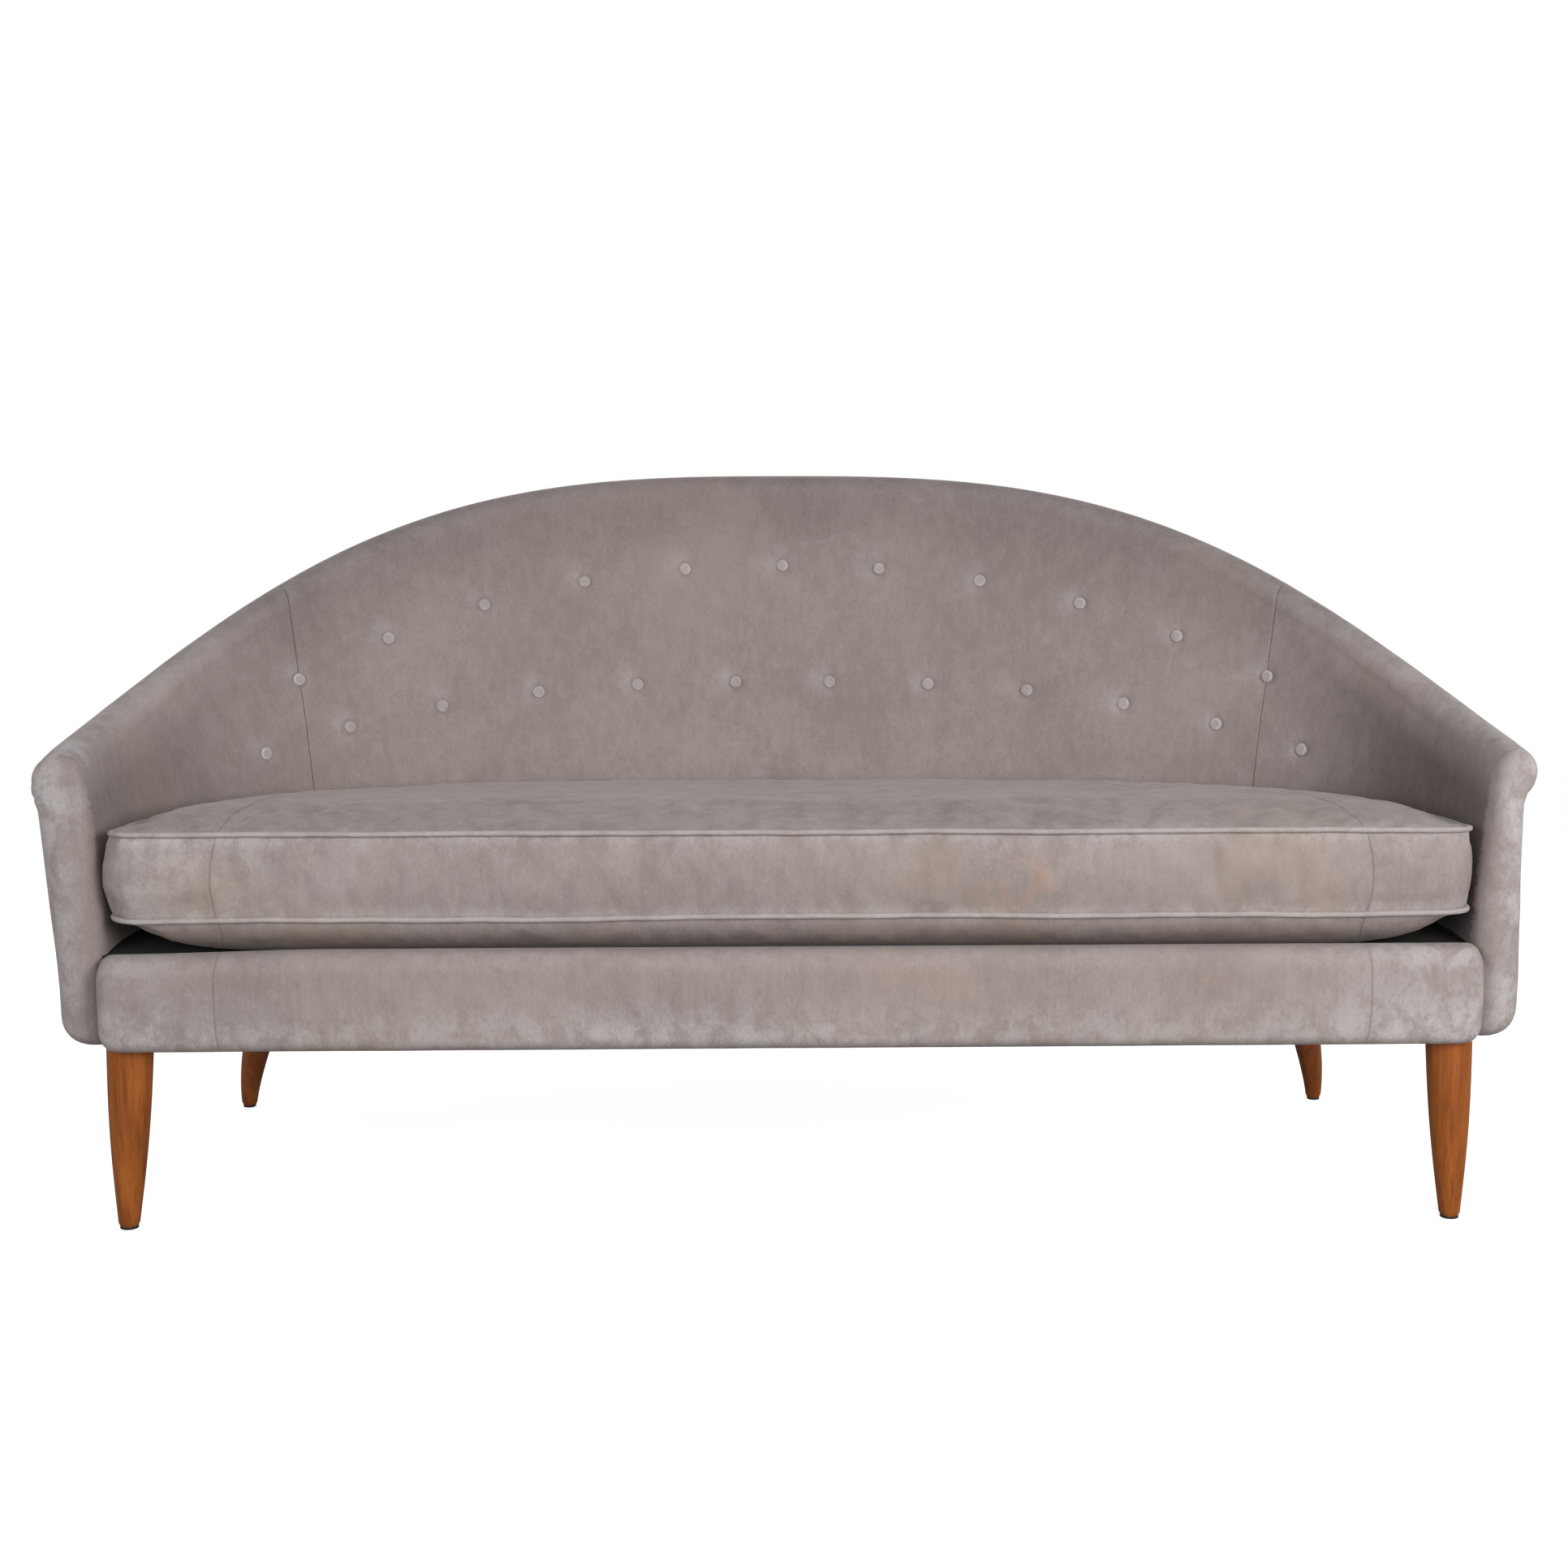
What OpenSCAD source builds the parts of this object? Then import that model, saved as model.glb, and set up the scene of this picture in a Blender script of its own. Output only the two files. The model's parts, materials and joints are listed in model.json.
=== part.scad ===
// Two and a half seat settee: an arched, buttoned back that sweeps down into low rolled arms,
// a loose seat cushion with piped edges, a padded front roll and four beech legs.
// Millimetres. +X to the sitter's left, +Y to the back, +Z up, origin on the floor under the middle.

/* [Seat plan] */
// Width between the inside faces of the arms, at the deck
seat_w = 1570; // [1450:5:1700]
// Depth from the front legs' centres to the inside back, at the deck
seat_d = 485; // [440:5:540]
// Squareness of the rounded plan line: 2 is an ellipse
plan_power = 2.35; // [2.1:0.05:2.6]
// How far the arms reach in front of the front legs' centres
arm_reach = 26; // [22:1:36]
// Height of the seat deck
deck_z = 330; // [310:1:360]
// Height of the body's underside
body_z = 222; // [200:1:240]

/* [Back and arms] */
// Height of the back at its middle
back_z = 833; // [780:1:900]
// Height of the arms at their front
arm_z = 561; // [535:1:590]
// Where the top line starts to fall: higher keeps the middle flat for longer
crest_power = 1.54; // [1.3:0.02:1.8]
// How hollow the fall is towards the arms
fall_power = 1.34; // [1.1:0.02:1.6]
// How far the middle of the back leans outwards, from the deck to its roll
back_lean = 150; // [120:1:180]
// How far the arms lean outwards, from the deck to their roll
arm_lean = 44; // [38:1:56]
// Radius of the roll along the middle of the back
back_roll_r = 33; // [30:1:38]
// Radius of the roll along the arms
arm_roll_r = 28; // [26:1:32]
// Thickness of the wall at its foot, at the middle of the back
back_wall_t = 135; // [110:1:145]
// Thickness of the wall at its foot, at the arms
arm_wall_t = 56; // [54:1:66]
// Rounding of the arms' front ends
nose_r = 21; // [19:0.5:22]
// Rounding of the wall's outer bottom edge
bottom_r = 35; // [30:1:38]

/* [Upholstery] */
// Thickness of the velvet covers
cover_t = 2.5; // [1.5:0.1:3]
// Thickness of the pads under the inside covers
pad_t = 12; // [10:0.5:14]
// Thickness of the wadding under the outside covers
wadding_t = 5; // [4:0.5:6]
// Thickness of the hessian
hessian_t = 1.2; // [0.8:0.1:1.6]
// Thickness of the webbing
web_t = 2.3; // [2:0.1:2.8]
// Width of a webbing strap
web_w = 50; // [40:1:60]
// Thickness of the seat felt
felt_t = 14; // [10:1:18]
// Thickness of the dust cover
dust_t = 1.2; // [0.8:0.1:1.6]

/* [Tufting] */
// Place of the seam between inside back and inside arm, in degrees round the sweep
seam_at = 51.5; // [48:0.5:54]
// Depth of a button's dimple
dimple = 7; // [4:0.5:9]
// Radius of a covered button
button_r = 8; // [7:0.5:10]
// Height of a covered button
button_h = 5; // [4:0.5:6]
// Radius of the twine that ties a button
twine_r = 0.9; // [0.6:0.1:1.2]
// Length of the toggle that a twine is tied to
toggle_l = 16; // [12:1:20]

/* [Frame] */
// How far the side rails' inner faces lie outside the plan line
rail_in_arm = 4; // [2:0.5:6]
// How far the back rail's inner face lies outside the plan line, at the middle
rail_in_back = 50; // [40:1:60]
// Thickness of the front rail
front_rail_t = 30; // [24:1:32]
// Width of a corner block
block_w = 50; // [42:1:60]
// Clearance between glued or stacked pieces that aren't face to face
fit_gap = 0.3; // [0.2:0.05:0.4]

/* [Front roll] */
// How far the front roll stands in front of the front legs' centres
roll_reach = 52; // [50:1:60]
// How far each end of the front roll stands outside the seat's width
roll_over = 6; // [-10:1:12]
// Height of the front roll above the deck
roll_rise = 9; // [6:1:12]

/* [Legs] */
// How far inside the seat's width the top of a front leg is centred
front_leg_inset = 20; // [18:1:45]
// How far a front leg's foot stands out from its top
front_leg_splay = 11; // [0:1:20]
// Radius of a front leg at its top
front_leg_r = 27; // [24:0.5:29]
// Radius of a front leg at its foot
front_foot_r = 12; // [10:0.5:15]
// Place of the rear legs, in degrees round the sweep
rear_leg_at = 55; // [53.5:0.5:56]
// How far outside the plan line the top of a rear leg is centred
rear_leg_in = 40; // [38:1:44]
// How far outside the plan line the foot of a rear leg is centred
rear_leg_out = 160; // [120:1:175]
// Half width of a rear leg's top, in the direction that it curves
rear_leg_a = 31; // [29:1:34]
// Half thickness of a rear leg's top
rear_leg_b = 20; // [16:1:24]
// Half width of a rear leg's foot, in the direction that it curves
rear_foot_a = 11; // [10:0.5:14]
// Half thickness of a rear leg's foot
rear_foot_b = 9.5; // [9:0.5:12]
// Height of a glide
glide_h = 3; // [2:0.5:4]
// Radius of a leg plate
plate_r = 18; // [16:0.5:19]
// Thickness of a leg plate
plate_t = 2.5; // [1.5:0.1:2.5]
// Radius of a hanger bolt
bolt_r = 4; // [3:0.5:5]
// Length of a hanger bolt on each side of its plate
bolt_l = 25; // [20:1:28]

/* [Cushion] */
// Gap between the cushion's border and the inside covers' plan line
cushion_gap = 8; // [7:0.5:12]
// How far the cushion reaches in front of the front legs' centres
cushion_reach = 35; // [35:1:45]
// Height of the cushion's border, between its pipings
border_h = 96; // [80:1:110]
// Height of the bottom piping above the deck, at the front
border_lift = 47; // [42:1:55]
// How much lower the cushion's back edge lies than its front edge
cushion_tilt = 38; // [28:1:38]
// Height of the crown of the cushion's top
crown = 24; // [14:1:32]
// Radius of the cushion's front corners, seen from above
cushion_corner_r = 34; // [24:1:34]
// Radius of the piping
piping_r = 3.6; // [3:0.1:4.5]
// Thickness of the cushion's cover
cushion_cover_t = 2; // [1.5:0.1:2.5]
// Width of the zip tape
zip_w = 22; // [18:1:26]

/* [Hidden] */

velvet = [0.62, 0.58, 0.56];
beech = [0.62, 0.38, 0.17];
raw_beech = [0.82, 0.68, 0.48];
jute = [0.66, 0.52, 0.34];
padding = [0.9, 0.88, 0.8];
steel = [0.6, 0.6, 0.62];
glide_steel = [0.3, 0.3, 0.31];
dark_cloth = [0.2, 0.19, 0.18];

front_leg_spacing = seat_w - 2 * front_leg_inset;
roll_w = seat_w + 2 * roll_over;

// Stations round the sweep. A station is [angle, nose angle, kind]: kind 0 is on the sweep, 1 on the
// rounded front end of an arm, and 2 closes that end along its middle line.
ON_SWEEP = 0;
ON_NOSE = 1;
ON_CLOSING = 2;
button_pitch = seam_at / 5;
last_column = 11;
arm_angles = [64, 70.5, 79, 86.5, 90];
nose_angles = [0, 30, 60, 90];
half_stations = concat(
    [for (k = [0 : last_column]) [k * button_pitch / 2, 0, ON_SWEEP]],
    [for (a = arm_angles) [a, 0, ON_SWEEP]],
    [for (a = nose_angles) [90, a, ON_NOSE]],
    [[90, 90, ON_CLOSING]]);
seam_k = 10;
arm_joint_k = last_column + len(arm_angles) - 1;
arm_end_k = last_column + len(arm_angles);
nose_end_k = len(half_stations) - 1;
function flipped(st) = [-st[0], st[1], st[2]];
function right_side(k0, k1) = [for (k = [k0 : k1]) half_stations[k]];
function left_side(k0, k1) = [for (k = [k1 : -1 : k0]) flipped(half_stations[k])];
function both_sides(k1) = concat(left_side(1, k1), right_side(0, k1));

// Rows round the wall's section, from the foot of the inside face over the roll to the underside.
lower_button_row = 1;
upper_button_row = 3;
roll_row = 5;
roll_end_row = 10;
wall_row = 11;
rail_row = 13;
foot_row = 14;
last_row = 17;

// Plan line of the inside face at the deck, and its outward direction.
spread_power = 1.2;
function sweep_angle(s) = 90 * pow(abs(s) / 90, spread_power);
function side(s) = s < 0 ? -1 : 1;
function plan_at(s) = let (a = sweep_angle(s), p = 2 / plan_power)
    [side(s) * seat_w / 2 * pow(sin(a), p), abs(s) >= 90 ? 0 : seat_d * pow(cos(a), p)];
function out_at(s) = let (a = sweep_angle(s), p = 2 - 2 / plan_power,
    n = [pow(sin(a), p) / (seat_w / 2), (abs(s) >= 90 ? 0 : pow(cos(a), p)) / seat_d])
    [side(s) * n[0], n[1]] / norm(n);
function off_plan(s, d) = plan_at(s) + out_at(s) * d;

// Sizes of the section at an angle, blended from the middle of the back to the arms.
function blend(arm, back, s) = arm + (back - arm) * cos(s);
function lean(s) = blend(arm_lean, back_lean, s);
function roll_r(s) = blend(arm_roll_r, back_roll_r, s);
function wall_t(s) = blend(arm_wall_t, back_wall_t, s);
function top_z(s) = arm_z + (back_z - arm_z)
    * pow((1 + cos(180 * pow(abs(s) / 90, crest_power))) / 2, fall_power);
function roll_z(s) = top_z(s) - roll_r(s);
arm_hollow = 0.7;
arm_hollow_power = 2.2;
back_hollow = 0.2;
function hollow(t, s) = blend((1 - arm_hollow) * t + arm_hollow * pow(t, arm_hollow_power),
    (1 - back_hollow) * t + back_hollow * t * t, s);
function inside_d(s, z) = let (t = max(0, z - deck_z) / (roll_z(s) - deck_z))
    (lean(s) - roll_r(s)) * hollow(t, s);
roll_wrap = 50;
foot_z = body_z + bottom_r;
lip_drop = 1.25;
lip_tuck = 4;
function wall_top_z(s) = roll_z(s) - lip_drop * roll_r(s);
function wall_d(s, z) = let (top_d = lean(s) + roll_r(s) * cos(roll_wrap) - lip_tuck)
    wall_t(s) + (top_d - wall_t(s)) * (z - foot_z) / (wall_top_z(s) - foot_z);

// Button rows, as shares of the inside face's height.
upper_share = 0.75;
upper_arch = 0.07;
lower_share = 0.495;
lower_turn_up = 0.05;
function upper_row(s) = upper_share + upper_arch * pow(cos(min(90, 90 * abs(s) / seam_at)), 2);
function lower_row(s) = lower_share
    + lower_turn_up * pow(min(1, abs(s) / (last_column * button_pitch / 2)), 4);
function face_share(s, i) = let (lo = lower_row(s), up = upper_row(s))
    [0, lo, (lo + up) / 2, up, (1 + up) / 2][i];

// A point of the section: distance out from the plan line, and height, at inset e.
rail_z = deck_z - web_t - hessian_t - felt_t - cover_t;
fold_t = 7;
function fold_d(s) = wall_t(s) - bottom_r - fold_t;
function section(s, i, e, z0 = deck_z) =
    let (r = roll_r(s), z1 = roll_z(s), wt = wall_t(s))
    i < roll_row ? let (z = z0 + (z1 - z0) * face_share(s, i)) [inside_d(s, z) + e, z]
    : i <= roll_end_row
        ? let (a = 180 - (i - roll_row) * (180 + roll_wrap) / (roll_end_row - roll_row))
            [lean(s) + (r - e) * cos(a), z1 + (r - e) * sin(a)]
    : i <= foot_row
        ? let (z = [wall_top_z(s), (wall_top_z(s) + rail_z) / 2, rail_z, foot_z][i - wall_row])
            [wall_d(s, z) - e, z]
    : i < last_row ? let (a = 45 * (i - foot_row))
        [wt - bottom_r + (bottom_r - e) * cos(a), foot_z - (bottom_r - e) * sin(a)]
    : [max(fold_d(s), e + 2 * fit_gap), body_z + e];

// The closing line down the middle of an arm's front end.
closing_gap = 0.15;
closing_r = 1.5;
closing_drop = 0.5;
closing_foot_z = body_z + nose_r;
function middle_d(z) = (inside_d(90, z) + wall_d(90, z)) / 2;
function closing(i) = let (s = 90, p = section(s, i, nose_r, closing_foot_z),
    share = (p[1] - closing_foot_z) / (wall_top_z(s) - closing_foot_z),
    mid = middle_d(closing_foot_z) + (middle_d(wall_top_z(s)) - middle_d(closing_foot_z)) * share)
    i < roll_row ? [mid - closing_gap, p[1]]
    : i <= roll_end_row
        ? let (a = 180 - (i - roll_row) * (180 + roll_wrap) / (roll_end_row - roll_row))
            [lean(s) + closing_r * cos(a), roll_z(s) + closing_r * sin(a)]
    : i == last_row ? [mid + closing_gap, p[1] - closing_drop]
    : [mid + closing_gap, p[1]];

// A point of the wall at a station, a row and an inset.
nose_y = nose_r - arm_reach;
function wall_point(st, i, e) =
    st[2] == ON_SWEEP
        ? let (q = section(st[0], i, e), p = off_plan(st[0], q[0])) [p[0], p[1], q[1]]
    : let (r = nose_r - e, en = e + r * (1 - cos(st[1])),
        q = st[2] == ON_CLOSING ? closing(i) : section(90, i, en, body_z + en))
        [side(st[0]) * (seat_w / 2 + q[0]), nose_y - r * sin(st[1]), q[1]];

// Insets of the layers, counted from the outside of the covers.
in_pad = cover_t;
in_hessian = cover_t + pad_t;
in_web = in_hessian + hessian_t;
in_back = in_web + web_t;
in_wood = cover_t + wadding_t;
function has_button(s, i) = let (k = round(abs(s) / (button_pitch / 2)))
    abs(abs(s) - k * button_pitch / 2) < 0.01 && k <= last_column
    && ((i == upper_button_row && k % 2 == 0) || (i == lower_button_row && k % 2 == 1));
function sunk(s, i) = has_button(s, i) ? dimple : 0;

// A closed skin between two insets, over some stations and rows. Its triangles are mirrored at the
// middle, so neighbouring layers share their faces exactly.
module layer(stations, i0, i1, outer, inner) {
    n = i1 - i0 + 1;
    m = len(stations);
    points = [for (st = stations, i = [i0 : i1]) each
        [wall_point(st, i, outer(st[0], i)), wall_point(st, i, inner(st[0], i))]];
    function o(j, i) = 2 * (j * n + i);
    function u(j, i) = o(j, i) + 1;
    function right(j) = stations[j][0] > -0.001 && stations[j + 1][0] > -0.001;
    function quad(a, b, c, d, keep) = keep ? [[a, b, c], [a, c, d]] : [[a, b, d], [b, c, d]];
    polyhedron(points, [
        for (j = [0 : m - 2], i = [0 : n - 2]) each
            quad(o(j, i), o(j, i + 1), o(j + 1, i + 1), o(j + 1, i), right(j)),
        for (j = [0 : m - 2], i = [0 : n - 2]) each
            quad(u(j + 1, i), u(j + 1, i + 1), u(j, i + 1), u(j, i), !right(j)),
        for (j = [0 : m - 2]) each
            quad(o(j, 0), o(j + 1, 0), u(j + 1, 0), u(j, 0), !right(j)),
        for (j = [0 : m - 2]) each
            quad(u(j, n - 1), u(j + 1, n - 1), o(j + 1, n - 1), o(j, n - 1), right(j)),
        for (i = [0 : n - 2]) each quad(o(0, i), u(0, i), u(0, i + 1), o(0, i + 1), true),
        for (i = [0 : n - 2]) each
            quad(o(m - 1, i + 1), u(m - 1, i + 1), u(m - 1, i), o(m - 1, i), true)]);
}
function flat_inset(e) = function (s, i) e;
function sunk_inset(e) = function (s, i) e + sunk(s, i);

// A solid swept through rings of points, each ring in one plane.
module loft(rings) {
    n = len(rings[0]);
    m = len(rings);
    function at(j, i) = j * n + i % n;
    function right(j) = rings[j][0][0] > 0 || rings[j + 1][0][0] > 0;
    polyhedron([for (r = rings) each r], [
        for (j = [0 : m - 2], i = [0 : n - 1]) each right(j)
            ? [[at(j, i), at(j, i + 1), at(j + 1, i + 1)], [at(j, i), at(j + 1, i + 1), at(j + 1, i)]]
            : [[at(j, i), at(j, i + 1), at(j + 1, i)], [at(j, i + 1), at(j + 1, i + 1), at(j + 1, i)]],
        [for (i = [n - 1 : -1 : 0]) at(0, i)],
        [for (i = [0 : n - 1]) at(m - 1, i)]]);
}
function reversed(list) = [for (i = [len(list) - 1 : -1 : 0]) list[i]];
function place(s, d, z) = let (p = off_plan(s, d)) [p[0], p[1], z];

// Frame: seat rails, uprights and top rails.
frame_z = body_z + cover_t;
function rail_in(s) = blend(rail_in_arm, rail_in_back, s);
deck_lap = 11;
function deck_edge(s) = rail_in(s) + deck_lap;
function rail_ring(st) = let (s = st[0]) [
    place(s, rail_in(s), frame_z), place(s, rail_in(s), rail_z),
    wall_point(st, rail_row, in_wood), wall_point(st, foot_row, in_wood),
    wall_point(st, foot_row + 1, cover_t), wall_point(st, foot_row + 2, cover_t)];
rail_joint_k = 8;
module seat_rail_back() color(raw_beech)
    loft([for (st = both_sides(rail_joint_k)) rail_ring(st)]);
module seat_rail_side(stations, flip) color(raw_beech) difference() {
    loft([for (st = stations) rail_ring(st)]);
    mirror([flip, 0, 0]) translate([rear_top[0], rear_top[1], frame_z]) bolt_bore();
}
module seat_rail_left() seat_rail_side(left_side(rail_joint_k, arm_joint_k), 1);
module seat_rail_right() seat_rail_side(right_side(rail_joint_k, arm_joint_k), 0);

front_rail_y = -roll_reach + cover_t + pad_t;
front_rail_short = 3;
front_rail_half = seat_w / 2 - front_rail_short;
side_gap = 1;
module front_rail() color(raw_beech)
    translate([-front_rail_half, front_rail_y, frame_z])
        cube([2 * front_rail_half, front_rail_t, rail_z - frame_z]);
front_rail_back = front_rail_y + front_rail_t;

module both_flips() for (flip = [0, 1]) mirror([flip, 0, 0]) children();
stretcher_k = 4;
module seat_stretchers() color(raw_beech) both_flips() {
    ends = [for (k = [stretcher_k, stretcher_k + 1])
        let (s = half_stations[k][0]) off_plan(s, rail_in(s))];
    translate([0, 0, frame_z]) linear_extrude(rail_z - frame_z)
        polygon([[ends[0][0], front_rail_back], [ends[1][0], front_rail_back], ends[1], ends[0]]);
}
bolt_sides = 12;
module bolt_bore() cylinder(r = bolt_r, h = bolt_l, $fn = bolt_sides);
module front_corner_blocks() color(raw_beech) both_flips() difference() {
    joint = half_stations[arm_joint_k][0];
    near = off_plan(joint, rail_in(joint));
    translate([0, 0, frame_z]) linear_extrude(rail_z - frame_z)
        polygon([[seat_w / 2 - block_w, front_rail_back], [seat_w / 2 - side_gap, front_rail_back],
            [seat_w / 2 - side_gap, 0], off_plan(90, rail_in(90)), near, [seat_w / 2 - block_w, near[1]]]);
    translate([front_leg_spacing / 2, 0, frame_z]) bolt_bore();
}
module rear_corner_blocks() color(raw_beech) both_flips() {
    ks = [seam_k, seam_k + 1];
    rim = [for (k = ks) let (s = half_stations[k][0]) off_plan(s, rail_in(s))];
    inner = [for (k = ks) let (s = half_stations[k][0]) off_plan(s, rail_in(s) - block_w)];
    translate([0, 0, frame_z]) linear_extrude(rail_z - frame_z)
        polygon([rim[0], rim[1], inner[1], inner[0]]);
}

// An upright: a shaped former that stands on a seat rail and carries a top rail.
function upright_ring(st, slack, drop) = let (s = st[0], lower = function (p) [p[0], p[1], p[2] - drop]) concat(
    [place(s, deck_edge(s) + fit_gap, rail_z), place(s, deck_edge(s) + fit_gap, deck_z + fit_gap),
        place(s, in_web + slack, deck_z + fit_gap)],
    [for (i = [1 : roll_row - 1]) wall_point(st, i, in_web + slack)],
    [lower(wall_point(st, roll_row, in_web + slack)),
        lower(wall_point(st, roll_end_row, in_hessian + slack)),
        wall_point(st, wall_row, in_wood + slack), wall_point(st, wall_row + 1, in_wood + slack),
        wall_point(st, rail_row, in_wood + slack)]);
function between(k, share) = let (a = half_stations[k][0], b = half_stations[k + 1][0])
    [a + (b - a) * share, 0, ON_SWEEP];
upright_slack = 0.9;
upright_drop = 2.3;
corner_drop = 1.5;
upright_ks = [3, 7];
upright_span = [0.25, 0.75];
module back_uprights() color(raw_beech) both_flips() for (k = upright_ks)
    loft([for (share = upright_span) upright_ring(between(k, share), upright_slack, upright_drop)]);
corner_k = 12;
module corner_uprights() color(raw_beech) both_flips()
    loft([for (k = [corner_k, corner_k + 1]) upright_ring(half_stations[k], fit_gap, corner_drop)]);
function arm_post_ring(st) = let (s = st[0]) concat(
    [place(s, rail_in(s), frame_z), place(s, rail_in(s), rail_z)],
    upright_ring(st, fit_gap, fit_gap),
    [wall_point(st, foot_row, in_wood), wall_point(st, foot_row + 1, cover_t),
        wall_point(st, foot_row + 2, cover_t)]);
module arm_post_right() color(raw_beech)
    loft([for (st = right_side(arm_joint_k, arm_end_k)) arm_post_ring(st)]);
module arm_post_left() mirror([1, 0, 0]) arm_post_right();

function top_rail_ring(st) = concat(
    [for (i = [roll_row : roll_end_row]) wall_point(st, i, in_hessian)],
    [wall_point(st, roll_row, in_web)]);
module back_top_rail() color(raw_beech) loft([for (st = both_sides(seam_k)) top_rail_ring(st)]);
module arm_top_rail_right() color(raw_beech)
    loft([for (st = right_side(seam_k, arm_end_k)) top_rail_ring(st)]);
module arm_top_rail_left() mirror([1, 0, 0]) arm_top_rail_right();

// Seat deck: webbing, hessian, felt and cover, laid on the rails in turn.
front_rail_lap = 12;
deck_front = front_rail_y + front_rail_t - front_rail_lap;
module deck_outline() polygon(concat(
    [for (st = both_sides(arm_end_k)) let (s = st[0], p = off_plan(s, deck_edge(s)))
        abs(s) >= 90 ? [p[0], fit_gap] : p],
    [for (q = [[1, fit_gap], [1, deck_front], [-1, deck_front], [-1, fit_gap]])
        [q[0] * (seat_w / 2 - side_gap), q[1]]]));
long_straps = 7;
cross_straps = 3;
cross_share = 0.26;
module seat_webbing_long() color(jute) translate([0, 0, rail_z]) linear_extrude(web_t / 2)
    intersection() {
        deck_outline();
        for (i = [0 : long_straps - 1])
            translate([(i - (long_straps - 1) / 2) * seat_w / (long_straps + 1) - web_w / 2, -seat_d])
                square([web_w, 3 * seat_d]);
    }
module seat_webbing_cross() color(jute) translate([0, 0, rail_z + web_t / 2]) linear_extrude(web_t / 2)
    intersection() {
        deck_outline();
        for (i = [1 : cross_straps])
            translate([-seat_w, i * seat_d * cross_share - web_w / 2]) square([2 * seat_w, web_w]);
    }
module seat_hessian() color(jute) translate([0, 0, rail_z + web_t])
    linear_extrude(hessian_t) deck_outline();
module seat_felt() color(padding) translate([0, 0, rail_z + web_t + hessian_t])
    linear_extrude(felt_t) deck_outline();
module deck_cover() color(dark_cloth) translate([0, 0, deck_z - cover_t])
    linear_extrude(cover_t) deck_outline();

// Back and arm upholstery.
web_ks = [1, 5, 9];
web_span = [0.2, 0.8];
module back_webbing() color(jute) both_flips() for (k = web_ks)
    layer([for (share = web_span) between(k, share)], 0, roll_row - 1,
        flat_inset(in_web + fit_gap), flat_inset(in_back + fit_gap));
module back_hessian() color(jute)
    layer(both_sides(arm_end_k), 0, roll_row, flat_inset(in_hessian), flat_inset(in_web));
module back_pad() color(padding)
    layer(both_sides(seam_k), 0, roll_end_row, sunk_inset(in_pad), flat_inset(in_hessian));
module arm_pad_right() color(padding)
    layer(right_side(seam_k, nose_end_k), 0, roll_end_row, sunk_inset(in_pad), flat_inset(in_hessian));
module arm_pad_left() mirror([1, 0, 0]) arm_pad_right();
module outside_wadding() color(padding)
    layer(both_sides(nose_end_k), wall_row, foot_row, flat_inset(in_pad), flat_inset(in_wood));
module inside_back_cover() color(velvet)
    layer(both_sides(seam_k), 0, roll_end_row, sunk_inset(0), sunk_inset(in_pad));
module inside_arm_cover_right() color(velvet)
    layer(right_side(seam_k, nose_end_k), 0, roll_end_row, sunk_inset(0), sunk_inset(in_pad));
module inside_arm_cover_left() mirror([1, 0, 0]) inside_arm_cover_right();
module outside_back_cover() color(velvet)
    layer(both_sides(last_column), roll_end_row, last_row, flat_inset(0), flat_inset(in_pad));
module outside_arm_cover_right() color(velvet)
    layer(right_side(last_column, nose_end_k), roll_end_row, last_row, flat_inset(0), flat_inset(in_pad));
module outside_arm_cover_left() mirror([1, 0, 0]) outside_arm_cover_right();

// Front roll: a padded nose along the front rail, with rounded ends.
roll_top = deck_z + roll_rise;
roll_low_r = 18;
roll_high_r = 26;
roll_end_r = 16;
roll_belly = 2;
roll_heel = 7;
roll_droop = 2;
roll_back = front_rail_y + front_rail_t - 2;
roll_tail = 5;
function roll_section(e) = concat(
    [[roll_back + roll_tail, body_z + e]],
    [for (a = [270 : -30 : 180]) [-roll_reach + roll_low_r + (roll_low_r - e) * cos(a),
        body_z + roll_low_r + (roll_low_r - e) * sin(a)]],
    [[-roll_reach - roll_belly + e, (body_z + roll_top) / 2]],
    [for (a = [180 : -30 : 90]) [-roll_reach + roll_high_r + (roll_high_r - e) * cos(a),
        roll_top - roll_high_r + (roll_high_r - e) * sin(a)]],
    [[roll_back - roll_heel - e / 2, roll_top - roll_droop - e],
        [roll_back + roll_tail - e / 2, deck_z - roll_tail - e]]);
roll_end_angles = [90, 60, 30, 0];
function roll_rings(e) = let (r = roll_end_r - e, half = roll_w / 2 - roll_end_r,
    ring = function (x, in) [for (q = roll_section(in)) [x, q[0], q[1]]]) concat(
    [for (a = roll_end_angles) ring(-half - r * sin(a), e + r * (1 - cos(a)))],
    [for (share = [-0.8, -0.4, 0, 0.4, 0.8]) ring(share * half, e)],
    [for (a = reversed(roll_end_angles)) ring(half + r * sin(a), e + r * (1 - cos(a)))]);
module roll_solid(e) loft(roll_rings(e));
module roll_seat() {
    wide = 2 * seat_w;
    low = body_z - bottom_r;
    front_rail();
    translate([-wide / 2, -arm_reach, low]) cube([wide, wide, rail_z - low]);
    translate([-wide / 2, deck_front, low]) cube([wide, wide, deck_z - low]);
    both_flips() translate([seat_w / 2 - side_gap, -arm_reach - fit_gap, low]) cube([wide, wide, wide]);
}
module front_roll_cover() color(velvet) difference() {
    roll_solid(0);
    roll_solid(cover_t);
    roll_seat();
}
module front_roll_pad() color(padding) difference() {
    roll_solid(cover_t);
    roll_seat();
}

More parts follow.
